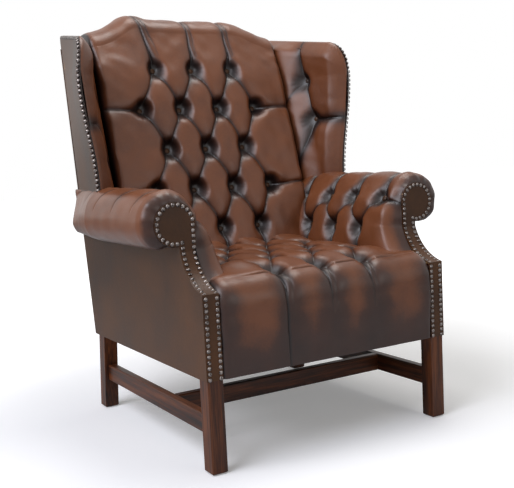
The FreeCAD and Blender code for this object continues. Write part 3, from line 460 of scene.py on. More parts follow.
@dataclass(frozen=True)
class Chair:
    """Sizes of the chair that its pieces share, the same as the frame's own.

    Attributes:
        pitch: Distance between two buttons of a row.
        half_width: Half the room between the arms.
        back_row: Height between two rows of buttons on the back.
        back_first: Height of the back's lowest row.
        back_set: Depth of that row.
        back_lean: Depth that the back gains for each millimetre of height.
        back_puff: Height of the back's puffs.
        seat_row: Depth between two rows of buttons on the seat.
        seat_first: Depth of the seat's first row.
        seat_puff: Height of the seat's puffs.
        rail_bottom: Height of the seat rails' underside.
        crest_height: Height of the crest in its middle.
        crest_end: Height of the crest where it meets the wings.
        crest_flat: Half the width of its level middle.
        wing_front: Depth of the wing's front edge.
        wing_foot: Height at which the wing leaves the arm.
        wing_wide: Height at which the wing reaches furthest out.
        wing_shoulder: Height of the wing's top at its dip.
        outside_corner: Distance of the outside back's corners from the middle.
    """

    pitch: float = 122.0
    half_width: float = 296.0
    back_row: float = 114.0
    back_first: float = 486.0
    back_set: float = 533.0
    back_lean: float = math.tan(math.radians(16.7))
    back_puff: float = 36.0
    seat_row: float = 108.0
    seat_first: float = 60.0
    seat_puff: float = 36.0
    rail_bottom: float = 212.0
    crest_height: float = 1096.0
    crest_end: float = 1052.0
    crest_flat: float = 140.0
    wing_front: float = 455.0
    wing_foot: float = 621.0
    wing_wide: float = 915.0
    wing_shoulder: float = 1015.0
    outside_corner: float = 340.5

    def crest(self, x: Array) -> Array:
        """Top of the back: level in the middle, then an ogee down to the wings.

        Args:
            x: Distance to the right of the middle.

        Returns:
            Heights, with the soft swell that the left shoulder shows.
        """
        share = np.clip((np.abs(x) - self.crest_flat) / (self.half_width - self.crest_flat), 0, 1)
        swell = 14.0 * np.exp(-((x + 158.0) / 36.0) ** 2)
        fall = (self.crest_height - self.crest_end) * 0.5 * (1 - np.cos(math.pi * share))
        return self.crest_height + swell - fall

    def back_face(self, z: Array) -> Array:
        """Depth of the outside back's leather at a height."""
        return 677.0 + (z - self.rail_bottom) * math.tan(math.radians(9.0))

    def post_front(self, z: Array) -> Array:
        """Depth of the back posts' front at a height."""
        return 622.0 + (z - self.rail_bottom) * math.tan(math.radians(10.7))

    def wing_reach(self, z: Array) -> Array:
        """Distance of the wing's front edge from the middle: in at the arm, out above.

        Args:
            z: Heights.

        Returns:
            Distances at those heights.
        """
        share = np.clip((z - self.wing_foot) / (self.wing_wide - self.wing_foot), 0, None)
        near, far = 391, 422
        low = near + (far - near) * 0.5 * (1 - np.cos(math.pi * np.minimum(share, 1)))
        return np.where(share <= 1, low, far - (share - 1) * (far - near) * 1.1)

    def wing_outside(self, y: Array, z: Array) -> Array:
        """Outside face of the wing, ruled from its front edge to the rear corner.

        Args:
            y: Depths.
            z: Heights.

        Returns:
            Distances from the middle.
        """
        front = self.wing_reach(z)
        share = np.clip((y - self.wing_front) / (self.back_face(z) - self.wing_front), 0, 1)
        return front + (self.outside_corner - front) * share

    def wing_top(self, y: Array) -> Array:
        """Top of the wing: rounded at the front, a dip, then up to the crest.

        Args:
            y: Depths.

        Returns:
            Heights at those depths.
        """
        radius = 62
        share = 1 - np.clip((y - self.wing_front) / radius, 0, 1)
        front = self.wing_shoulder - 92 * (1 - np.sqrt(np.maximum(1 - share ** 2, 0)))
        dip = self.wing_front + radius
        climb = 42 * np.clip((y - dip) / 290, 0, 1)
        return np.where(y < dip, front, self.wing_shoulder + climb)


def row_places(row: int, pitch: float) -> list[float]:
    """Places of a row's buttons across: three and four by turns."""
    return [n * pitch for n in ((-1, 0, 1) if row % 2 == 0 else (-1.5, -0.5, 0.5, 1.5))]


def lattice(rows: Sequence[float], pitch: float) -> list[Crease]:
    """Folds of the diamonds between staggered rows of buttons.

    Args:
        rows: Places of the rows on the surface, the first with three buttons.
        pitch: Distance between a row's buttons.

    Returns:
        One fold from each button to each neighbour in the next row.
    """
    bow = 3.5
    folds = []
    for n, (low, high) in enumerate(zip(rows, rows[1:])):
        for a in row_places(n, pitch):
            for b in row_places(n + 1, pitch):
                if abs(abs(a - b) - pitch / 2) < 1:
                    folds.append(Crease((a, low), (b, high), bow=bow if b > a else -bow))
    return folds


@dataclass(frozen=True)
class ButtonRow:
    """Where the covered buttons of one solid sit, in metres, and the way each faces."""

    node: str
    places: list[Vector]
    ways: list[Vector]


@dataclass
class TuftedPart:
    """What the tufted sub-assemblies share.

    Attributes:
        chair: Sizes of the chair.
        leather: The tufted leather's material.
        cells: Faces along half a diamond.
    """

    WAVE: ClassVar[float] = 60.0

    chair: Chair
    leather: bpy.types.Material
    cells: int

    def stations(self, edge: float, step: float) -> Array:
        """Places across a pad, even from the middle, ending at its edges.

        Args:
            edge: Distance of each edge from the middle.
            step: Distance between two places.

        Returns:
            The places, from left to right.
        """
        half = np.arange(0, int((edge - 1) / step) + 1) * step
        half = np.append(half[half < edge - step / 2], edge)
        return np.concatenate([-half[:0:-1], half])

    def close(self, pad: Pad, under: Sequence[Spot]) -> None:
        """Closes a pad of side profiles round its hidden underside and builds it.

        Args:
            pad: The pad with its open surface.
            under: Depth and height of the hidden corners, in the surface's own order.
        """
        rings = pad.points.shape[0]
        x = pad.points[:, :1, 0]
        hidden = [np.concatenate([x, np.full((rings, 1), y), np.full((rings, 1), z)], axis=1)
                  for y, z in under]
        pad.points = np.concatenate([pad.points, np.stack(hidden, axis=1)], axis=1)
        pad.crown = np.concatenate([pad.crown, np.zeros((rings, len(under)))], axis=1)
        pad.build(self.leather)

    def button_row(self, node: str, base: Surface, spots: Sequence[Spot], out: int = -1,
                   mirror: bool = False) -> ButtonRow:
        """Says where a pad's buttons sit and which way they face.

        Args:
            node: The solid that the buttons stand for.
            base: The pad's surface at the depth of its buttons.
            spots: The buttons' places on the pad's map.
            out: 1 or -1, so that the directions point out of the pad.
            mirror: Whether the pad is the left-hand twin.

        Returns:
            The buttons.
        """
        places, ways = [], []
        flip = (-1.0 if mirror else 1.0, 1.0, 1.0)
        for u, v in spots:
            gu, gv = np.meshgrid([u - 1, u, u + 1], [v - 1, v, v + 1], indexing="ij")
            grid = base(gu, gv)
            places.append(Vector(to_frame(grid[1, 1], mirror)))
            ways.append(Vector(across(grid)[1, 1] * out * flip))
        return ButtonRow(node, places, ways)


@dataclass
class Seat(TuftedPart):
    """The seat: a tufted top that runs down over the front rail as a border.

    Attributes:
        profile: Depth and height of its side profile, from the rear to the border's foot.
        first_row: Which place of the profile holds the first row of buttons.
        under: Depth and height of its hidden underside.
        front_puff: Height of the puffs over the rounded front edge.
        border_puff: Height of the soft fullness of the border below.
        side_drop: How far the top falls towards the arms.
        seed: Picks the pattern of its unevenness.
    """

    profile: tuple[Spot, ...] = (
        (612, 428), (540, 427), (480, 421), (430, 415), (250, 414), (60, 414), (38, 411),
        (19, 402), (6, 389), (-3, 371), (-6, 350), (-7, 300), (-6, 212),
    )
    first_row: int = 5
    under: tuple[Spot, ...] = (
        (2.0, 211.4), (5.6, 212.0), (5.6, 309.0), (300.0, 309.0), (612.0, 309.0),
    )
    front_puff: float = 19.0
    border_puff: float = 7.0
    side_drop: float = 30.0
    seed: int = 11

    def __post_init__(self) -> None:
        """Lays the side profile out along its length."""
        self.line = Line(self.profile, origin=self.first_row)
        self.tail = self.line.lengths[-1]
        self.rear = self.profile[0][0] - self.chair.seat_first
        self.edge = self.chair.half_width + 3

    def build(self) -> ButtonRow:
        """Builds the seat's leather.

        Returns:
            Its buttons.
        """
        chair = self.chair
        rows = [chair.seat_row * n for n in range(5)]
        spots = [(x, -rows[n]) for n in range(4) for x in row_places(n, chair.pitch)]
        tufting = Tufting(self.folds(rows), spots, seed=self.seed)
        u = self.stations(self.edge - 1, chair.pitch / 2 / self.cells)
        step = chair.seat_row / self.cells
        v = np.arange(-math.floor(self.rear / step), math.floor(self.tail / step) + 1) * step
        v = np.append(v[v < self.tail - 1], self.tail)
        gu, gv = np.meshgrid(u, v, indexing="ij")
        share, detail, clear = tufting.relief(gu, gv)
        front = smooth(-60, 30, gv)
        out = -across(self.base(gu, gv))
        lift = self.puff(gv) * share + detail
        top = self.base(gu, gv + 0.10 * lift * (1 - front)) + out * lift[..., None]
        top = top + out * (0.5 * ripple(gu, gv, self.WAVE, 5) * share)[..., None]
        border = smooth(30, 75, gv)
        crown = wear_and_shade(clear, share) * (1 - border) + self.patches(gu, gv) * clear * border
        self.close(Pad("seat_leather", "seat_pad", top, crown, inward=True), self.under)
        return self.button_row("seat_buttons", self.base, spots)

    def base(self, x: Array, s: Array) -> Array:
        """The surface at the depth of the buttons, which tucks in beside the legs.

        Args:
            x: Distance to the right of the middle.
            s: Length along the side profile from the first row of buttons.

        Returns:
            Places in millimetres.
        """
        y, z = self.line.at(s)
        z = z - self.side_drop * smooth(175, 300, np.abs(x)) * smooth(30, -60, s)
        tuck = 9 * (1 - round_over((self.edge - np.abs(x)) / 16))
        return np.stack([x, y + tuck * smooth(20, 90, s), z], axis=-1)

    def puff(self, s: Array) -> Array:
        """Height of the puffs: full on top, low over the front, nothing at the ends.

        Args:
            s: Length along the side profile.

        Returns:
            Heights at those lengths.
        """
        front = smooth(-60, 30, s)
        puff = self.chair.seat_puff * (1 - front) + self.front_puff * front * (1 - smooth(40, 110, s))
        puff = puff + self.border_puff * smooth(40, 110, s) * (1 - smooth(120, self.tail, s))
        return puff * (1 - smooth(-440, -520, s))

    def folds(self, rows: Sequence[float]) -> list[Crease]:
        """Diamonds on top, pleats to the arms, and pleats down over the front.

        Args:
            rows: Distances of the rows of buttons behind the first.

        Returns:
            The folds.
        """
        pitch, edge = self.chair.pitch, self.edge
        folds = [crease.turned() for crease in lattice(rows, pitch)]
        for x in (-1.5 * pitch, 1.5 * pitch):
            side = math.copysign(self.chair.half_width + 2, x)
            folds += [Crease((x, -rows[n]), (side, -rows[n]), (0, 0.3, 0.1)) for n in (1, 3)]
        folds += [Crease((x, -self.rear), (x, self.tail), (0, 0, 0), reach=30) for x in (-edge, edge)]
        seam = (Crease((-pitch, 0), (-pitch - 2, self.tail), (0, 0.05, 0.3), 50, 4, groove=3.2),
                Crease((-pitch + 9, 6), (-pitch + 9, 95), (0.3, 0.7, 1.0), 30, -3, groove=0.8))
        folds += seam
        for x in (0.0, pitch):
            folds.append(Crease((x, 0), (x - 3, 135), (0, 0.35, 1.0), 46, 4, groove=1.3))
            folds.append(Crease((x + 13, 22), (x + 9, 112), (0.6, 0.8, 1.0), 24, 5, groove=0.9))
        return folds

    def patches(self, u: Array, v: Array) -> Array:
        """Rubbed patches of the front border, one between each two folds.

        Args:
            u: Distance to the right of the middle.
            v: Length along the side profile.

        Returns:
            How far the finish is rubbed, from 0 to 1.
        """
        near = np.min([np.abs(u - n * self.chair.pitch) for n in (-1, 0, 1)], axis=0)
        near = np.minimum(near, self.chair.half_width - np.abs(u)) + 7 * ripple(u, v, 90, 71)
        height = smooth(self.tail - 2, self.tail - 120, v + 12 * ripple(u, v, 110, 72))
        return 0.5 + 0.5 * smooth(0, 72, near) * height


@dataclass
class Back(TuftedPart):
    """The back: diamonds up to the top row, then three pleats over the crest.

    Attributes:
        low: Height of its lower edge, hidden behind the seat.
        shoulder: Place on its map where it starts to turn over the crest.
        apex: Place on its map of the crest's highest line.
        rear: Place on its map where it ends behind the crest.
        roll: Height of the roll over the crest.
        rail_top: Height of the crest rail that it lies on.
        seed: Picks the pattern of its unevenness.
    """

    low: float = 424.0
    shoulder: float = 1062.0
    apex: float = 1138.0
    rear: float = 1190.0
    roll: float = 36.0
    rail_top: float = 1006.0
    seed: int = 21

    def __post_init__(self) -> None:
        """Works out where the rows of buttons lie."""
        chair = self.chair
        self.rows = [chair.back_first + chair.back_row * n for n in range(5)]

    def build(self) -> ButtonRow:
        """Builds the back's leather.

        Returns:
            Its buttons.
        """
        chair = self.chair
        spots = [(x, self.rows[n]) for n in range(5) for x in row_places(n, chair.pitch)]
        tufting = Tufting(self.folds(), spots, seed=self.seed, hang=(5.0, 9.0))
        u = self.stations(chair.half_width + 1, chair.pitch / 2 / self.cells)
        step, first = chair.back_row / self.cells, self.rows[0]
        v = np.arange(math.ceil((self.low - first) / step), math.floor((self.rear - first) / step))
        v = np.append(first + v * step, self.rear)
        gu, gv = np.meshgrid(u, v, indexing="ij")
        share, detail, clear = tufting.relief(gu, gv)
        puff = chair.back_puff - 22 * smooth(900, 1085, gv) - 6 * smooth(1120, self.rear, gv)
        out = across(self.base(gu, gv))
        lift = puff * share + detail
        sag = 0.20 * lift * smooth(1030, 930, gv)
        top = self.base(gu, gv - sag) + out * lift[..., None]
        top = top + out * (0.6 * ripple(gu, gv, self.WAVE, 6) * share)[..., None]
        gap = 2.4
        rear_y = float(chair.post_front(np.array(self.low))) - gap
        cap_y = float(chair.post_front(np.array(1000.0))) - gap
        under = [(cap_y + 60, self.rail_top + 2.5), (cap_y, self.rail_top), (rear_y, self.low + 6.5)]
        self.close(Pad("back_leather", "back_pad", top, wear_and_shade(clear, share)), under)
        return self.button_row("back_buttons", self.base, spots, out=1)

    def base(self, x: Array, s: Array) -> Array:
        """The surface at the depth of the buttons, up the back and over the crest.

        Args:
            x: Distance to the right of the middle.
            s: Place on the map: the height, and then the length over the crest.

        Returns:
            Places in millimetres.
        """
        chair, top_row = self.chair, self.rows[4]
        crest = chair.crest(x) - 9
        cap = crest - self.roll
        squeeze = (cap - top_row) / (self.shoulder - top_row)
        z = np.where(s < top_row, s, top_row + (s - top_row) * squeeze)
        y = chair.back_set + (np.minimum(z, cap) - chair.back_first) * chair.back_lean
        y = y - 5 * smooth(self.rows[3], self.shoulder, s)
        aft = chair.back_face(cap) - 2
        peak = (y + aft) / 2 + 8
        turn = np.clip((s - self.shoulder) / (self.apex - self.shoulder), 0, 1) * math.pi / 2
        fall = np.clip((s - self.apex) / (self.rear - self.apex), 0, 1) * math.pi / 2
        rising = s < self.apex
        over_y = np.where(rising, peak - (peak - y) * np.cos(turn), peak + (aft - peak) * np.sin(fall))
        over_z = np.where(rising, cap + self.roll * np.sin(turn), crest - 33 * (1 - np.cos(fall)))
        y = np.where(s < self.shoulder, y, over_y)
        z = np.where(s < self.shoulder, z, over_z)
        return np.stack([x, y, z], axis=-1)

    def folds(self) -> list[Crease]:
        """Diamonds, pleats over the crest, and pleats to the seat and the wings.

        Returns:
            The folds, in the order in which they are laid.
        """
        chair, rows, apex = self.chair, self.rows, self.apex
        folds = lattice(rows, chair.pitch)
        for x in row_places(0, chair.pitch):
            out = -38.0 if x < 0 else -4.0
            lap = Crease((x + 16, rows[4] + 46), (x + out + 10, apex), (1, 0.8, 0.85), 18, -5.0, 0.9)
            folds += [
                Crease((x, rows[0]), (x, self.low), (0, 0.3, 0.4)),
                Crease((x, rows[4]), (x + out, apex), (0, 0.5, 0.6), 40, -6.0, groove=1.8),
                lap,
                Crease((x + out, apex), (x + out, self.rear - 12), (0.6, 0.7, 0.9), 30, groove=0.8),
            ]
        edge = chair.half_width + 2
        for x in (-1.5 * chair.pitch, 1.5 * chair.pitch):
            side = math.copysign(edge, x)
            folds += [Crease((x, rows[n]), (side, rows[n] + 3), (0, 0.68, 0.6), 36, groove=2.0)
                      for n in (1, 3)]
        ends = (0.3, 0.3, 0.3)
        return folds + [Crease((x, self.low), (x, self.rear), ends, reach=20) for x in (-edge, edge)]


@dataclass
class Arm(TuftedPart):
    """One arm: tufted inside, rolled over to its outside, gathered at the scroll.

    Attributes:
        mirror: Whether it is the left-hand arm.
        profile: Reach and height of its section at the front, from the seat outwards.
        rear_profile: The same places at the wing's rear, where the roll is slim.
        start: Depth of the gathered front edge.
        taper: Depth where the roll starts to slim.
        wing: Depth where the wing takes over.
        rear: Depth of its last section.
        column: Depth between two buttons of a row.
        first_column: Depth of the upper row's first button.
        disc: Reach, height and radius of the scroll's disc.
        inner: Reach of the front's inner edge.
    """

    mirror: bool
    profile: tuple[Spot, ...] = (
        (257, 424), (259, 452), (265, 480), (279, 520), (298, 560), (310, 586), (327, 605),
        (349, 615), (372, 614), (390, 609.5), (403.5, 600), (414, 586), (420.5, 568),
        (422, 553), (420, 535), (414, 521), (403, 508), (385, 501), (362, 500.5), (341, 502),
    )
    rear_profile: tuple[Spot, ...] = (
        (300, 424), (300, 452), (300, 480), (300, 520), (301, 560), (304, 590), (310, 608),
        (318, 618), (324, 618), (332, 611), (338, 601), (344, 586), (350, 568),
        (355, 553), (359, 538), (361, 525), (359, 513), (354, 505), (348, 502), (341, 502),
    )
    start: float = 96.0
    taper: float = 455.0
    wing: float = 558.0
    rear: float = 745.0
    column: float = 117.0
    first_column: float = 163.0
    disc: Place = (348.0, 550.0, 51.0)
    inner: float = 299.2

    def __post_init__(self) -> None:
        """Lays out the sections and finds where the rows lie on them."""
        self.line = Line(self.profile)
        self.rear_line = Line(self.rear_profile)
        self.total = float(self.line.lengths[-1])
        self.low_row = self.line.length_near((265, 480))
        self.high_row = self.line.length_near((298, 560))
        self.crown_row = self.line.length_near((372, 614))
        self.neck_row = self.line.length_near((267, 488))
        self.seed = 31 if self.mirror else 37

    def build(self) -> ButtonRow:
        """Builds the arm's leather.

        Returns:
            Its buttons.
        """
        folds, spots = self.folds()
        slices = self.slices()
        rows = np.linspace(0, self.total, int(self.total / (87 / self.cells)) + 1)
        gy, gs = np.meshgrid(slices, rows, indexing="ij")
        sweep = self.sweep(gs)
        rest = self.place(gy, gs, sweep)
        depth = rest[..., 1]
        share, detail, clear = Tufting(folds, spots, seed=self.seed).relief(depth, gs)
        lift = self.puff(gy, gs) * share + detail * smooth(97, 112, gy)
        gathers = np.cos(gs / 5.2 + 2.2 * np.sin(gs / 37)) * np.exp(-((gy - 103) / 9.0) ** 2)
        lift = lift + 1.1 * gathers * smooth(self.neck_row - 10, self.neck_row + 20, gs)
        waves = ripple(depth, gs, self.WAVE, self.seed + 5)
        lift = lift + 0.5 * waves * share * smooth(self.start, 110, gy)
        sag = 0.14 * lift * (gs < self.crown_row) * (gs > 6)
        top = self.place(gy, gs - sag, sweep) - across(rest) * lift[..., None]
        # Painted shade: the roll's outside, from past its crown down to its underside, is darkened by up
        # to half.
        crown = wear_and_shade(clear, share) * (1 - 0.5 * smooth(self.crown_row + 90, self.total, gs))
        crown = crown * (0.55 + 0.45 * smooth(self.start, 118, gy))
        hidden = self.hidden(slices)
        top = np.concatenate([top, hidden], axis=1)
        crown = np.concatenate([crown, np.zeros(hidden.shape[:2])], axis=1)
        side = side_name(self.mirror)
        Pad(f"arm_leather_{side}", f"arm_pad_{side}", top, crown, mirror=self.mirror, inward=True,
            inside=(f"arm_rail_{side}",)).build(self.leather)
        return self.button_row(f"arm_buttons_{side}", self.base, spots, mirror=self.mirror)

    def slices(self) -> Array:
        """Depths of the sections: close together where the front is gathered.

        Returns:
            The depths, from the front backwards.
        """
        front = self.start + np.array([0, 0.4, 1.2, 2.4, 4, 6])
        even = np.arange(self.start + 8, 548, self.column / 2 / self.cells)
        return np.concatenate([front, even, np.linspace(550, self.rear, 26)])

    def folds(self) -> tuple[list[Crease], list[Spot]]:
        """The folds inside and over the roll, and the buttons between them.

        Returns:
            The folds, and the buttons' places on the arm's map.
        """
        high, low = self.high_row, self.low_row
        folds, spots = [], []
        for a in (self.first_column + self.column * n for n in range(3)):
            b = a + self.column / 2
            spots += [(a, high), (b, low)]
            folds += [
                Crease((a, high), (b, low), bow=4),
                Crease((b, low), (a + self.column, high), bow=-4),
                Crease((b, low), (b, -10), (0, 0.2, 0.1), 46),
                Crease((a, high), (a + 2, self.crown_row + 62), (0, 0.42, 1.0), 44, 5, groove=0.9),
            ]
        first = (self.first_column, high)
        folds.append(Crease(first, (88, high - 12), (0, 0.3, 0.3), 46, 4, groove=1.5))
        folds.append(Crease((514, high), (516, self.crown_row + 60), (0.2, 0.5, 1.0), 44))
        return folds, spots

    def sweep(self, s: Array) -> tuple[Array, Array]:
        """The curve by which the front edge runs from the leg up to the scroll.

        Args:
            s: Length along the section.

        Returns:
            How far in front of the start the edge lies, and its height.
        """
        share = np.clip(s / self.neck_row, 0, 1)
        slide = 2 * share * (1 - share) * 71 + share ** 2 * self.start - self.start
        drop = (1 - share) ** 2 * 392 + 2 * share * (1 - share) * 419 + share ** 2 * 488
        return slide, drop

    def place(self, y: Array, s: Array, sweep: tuple[Array, Array]) -> Array:
        """The surface at the depth of the buttons.

        Args:
            y: Depths of the sections.
            s: Length along the section.
            sweep: The front edge's curve, for each section and length.

        Returns:
            Places in millimetres.
        """
        chair = self.chair
        x, z = self.line.at(s)
        rx, rz = self.rear_line.at(np.interp(s, self.line.lengths, self.rear_line.lengths))
        back = np.clip((y - self.taper) / 290, 0, 1)
        x = x + (rx - x) * back
        z = z + (rz - z) * back
        x = x + (306 - x) * smooth(545, self.wing, y) * (x < 306)
        x = np.where(y > 660, np.maximum(x, 300 + 41.5 * smooth(660, 690, y)), x)
        lean = np.clip((y - self.wing) / (self.rear - self.wing), 0, 1)
        front = 1 - smooth(self.start, 190, y)
        reach_back = self.wing + lean * (chair.back_face(z) + 0.5 - self.wing)
        depth = np.where(y > self.wing, reach_back, y + sweep[0] * front)
        z = np.where(s < self.neck_row, z + (sweep[1] - z) * front, z)
        end_x, end_z = self.front_edge(x, z)
        turn = round_over((y - self.start) / (52 - 36 * smooth(self.neck_row, self.neck_row + 75, s)))
        return np.stack([end_x + (x - end_x) * turn, depth, end_z + (z - end_z) * turn], axis=-1)

    def front_edge(self, x: Array, z: Array) -> tuple[Array, Array]:
        """Where a section is drawn in to: the scroll's disc, and the strip below it.

        Args:
            x: Reach of the section.
            z: Its height.

        Returns:
            Reach and height of the edge.
        """
        middle_x, middle_z, radius = self.disc
        gone = np.maximum(np.hypot(x - middle_x, z - middle_z), 1)
        end_x = middle_x + (x - middle_x) * radius / gone
        end_z = middle_z + (z - middle_z) * radius / gone
        below = z < middle_z - 1
        strip = below & (x < middle_x - 8)
        end_x = np.where(strip, self.inner, np.maximum(end_x, np.where(below, self.inner, 0)))
        return end_x, np.where(strip, z, end_z)

    def puff(self, y: Array, s: Array) -> Array:
        """Height of the puffs: full inside the arm, slight over the roll.

        Args:
            y: Depths of the sections.
            s: Length along the section.

        Returns:
            Heights in millimetres.
        """
        high, crown = self.high_row, self.crown_row
        puff = 27 - 13 * smooth(high - 20, high + 45, s) - 8 * smooth(high + 45, crown + 70, s)
        puff = puff * smooth(self.start, 128, y) * (1 - smooth(self.total - 40, self.total, s))
        return puff * (1 - smooth(556, 620, y) * smooth(crown + 40, crown - 30, s) * 0.7)

    def hidden(self, slices: Array) -> Array:
        """Corners that close each section inside the arm.

        Args:
            slices: Depths of the sections.

        Returns:
            Three places for each section.
        """
        lean = np.clip((slices - self.wing) / (self.rear - self.wing), 0, 1)
        far = self.wing + lean * (self.chair.back_face(np.array(505.0)) - self.wing)
        depth = np.where(slices > self.wing, far, slices)
        outer = np.where(slices < self.start + 12, 336.0, 341.0)
        inner = np.full(slices.shape, 303.0)
        return np.stack([np.stack([x, depth, np.full(slices.shape, z)], axis=-1)
                         for x, z in ((outer, 507.0), (inner, 507.0), (inner, 440.0))], axis=1)

    def base(self, y: Array, s: Array) -> Array:
        """The section at the depth of the buttons, away from the arm's ends."""
        x, z = self.line.at(s)
        return np.stack([x, y, z], axis=-1)


@dataclass
class Wing(TuftedPart):
    """One wing: tufted inside, rolled over its front and top edges.

    Attributes:
        mirror: Whether it is the left-hand wing.
        buttons: Depth and height of its buttons.
        foot: Height of its lower edge, hidden in the arm.
        rear: Depth that its rear edge would have at full height.
        inner: Least distance from the middle, where it meets the back.
        roll_radius: Radius of its rolled edges.
        puff: Height of its puffs.
        thick: Depth of its stuffing under the puffs.
    """

    mirror: bool
    buttons: tuple[Spot, Spot, Spot] = ((553.0, 788.0), (592.0, 905.0), (656.0, 784.0))
    foot: float = 608.0
    rear: float = 812.0
    inner: float = 300.0
    roll_radius: float = 34.0
    puff: float = 19.0
    thick: float = 18.0

    def build(self) -> ButtonRow:
        """Builds the wing's leather.

        Returns:
            Its buttons.
        """
        chair, start = self.chair, self.chair.wing_front
        seed = 51 if self.mirror else 57
        depth, z = self.grid()
        down = chair.wing_top(depth) - z
        ahead = depth - start
        roll = round_over(ahead / self.roll_radius) * round_over(down / self.roll_radius)
        hem = round_over(ahead / 9) * round_over(down / 9)
        spine = chair.wing_outside(depth, z) - 11.5
        share, detail, clear = Tufting(self.folds(), list(self.buttons), seed=seed).relief(depth, z)
        puff = self.puff * smooth(0, 40, ahead) * smooth(0, 46, down)
        meets = chair.back_set + (np.minimum(z, 1010) - chair.back_first) * chair.back_lean - 8
        free = smooth(meets + 10, meets - 70, depth)
        join = self.inner + 0.5
        plain = join + (spine - self.thick * roll - join) * (1 - (1 - free) * smooth(0, 30, down))
        inner = plain - (puff * share * free + detail) * np.clip(roll * 1.2, 0, 1)
        inner = inner - 0.5 * ripple(depth, z, self.WAVE, seed + 5) * roll
        face = np.stack([np.maximum(inner, self.inner), depth, z - 0.10 * puff * share], axis=-1)
        outside = np.stack([spine + 8.6 * hem, depth, z], axis=-1)[:, ::-1][:, 1::4]
        points = np.concatenate([face, outside], axis=1)
        tone = wear_and_shade(clear, share)
        crown = np.concatenate([tone, np.full(outside.shape[:2], 0.35)], axis=1)
        side = side_name(self.mirror)
        Pad(f"wing_leather_{side}", f"wing_pad_{side}", points, crown, mirror=self.mirror,
            inward=True).build(self.leather)
        return self.button_row(f"wing_buttons_{side}", self.base, self.buttons, mirror=self.mirror)

    def grid(self) -> tuple[Array, Array]:
        """Depths and heights of the wing's face, closer together at its rolled edges.

        Returns:
            Depths and heights, by column and row.
        """
        chair, start = self.chair, self.chair.wing_front
        fine = 28
        edge = 36 * (1 - np.cos(np.linspace(0, math.pi / 2, int(18 * self.cells / fine) + 4)))
        step = 62 / self.cells
        stations = start + np.concatenate([edge, np.arange(36 + step, self.rear - start, step)])
        count = int(150 * self.cells / fine)
        even = np.linspace(0, 1, count)
        climb = 0.55 * even + 0.45 * np.sin(np.linspace(0, math.pi / 2, count)) ** 0.9
        gy, gf = np.meshgrid(stations, climb, indexing="ij")
        z = self.foot + gf * (chair.wing_top(gy) - self.foot)
        limit = np.where(z > 1009, chair.back_face(z) - 1, chair.post_front(z) - 2.4)
        depth = start + (gy - start) * (limit - start) / (self.rear - start)
        return depth, self.foot + gf * (chair.wing_top(depth) - self.foot)

    def folds(self) -> list[Crease]:
        """The folds between the three buttons, and from them to the wing's edges.

        Returns:
            The folds, in the order in which they are laid.
        """
        a, b, c = self.buttons
        return [
            Crease(a, b, bow=7, reach=46), Crease(b, c, bow=4, reach=46),
            Crease(a, (452, 790), (0, 0.12, 0.0), 52, groove=1.6),
            Crease(b, (604, 1030), (0, 0.3, 0.7), 50, -4, groove=1.0),
            Crease(a, (600, 606), (0, 0.2, 0.1), 50, -14),
            Crease(c, (640, 606), (0, 0.2, 0.1), 44, 6),
            Crease(c, (742, 790), (0, 0.15, 0.0), 46),
        ]

    def base(self, y: Array, height: Array) -> Array:
        """The wing's inside at the depth of its buttons."""
        return np.stack([self.chair.wing_outside(y, height) - 29.5, y, height], axis=-1)


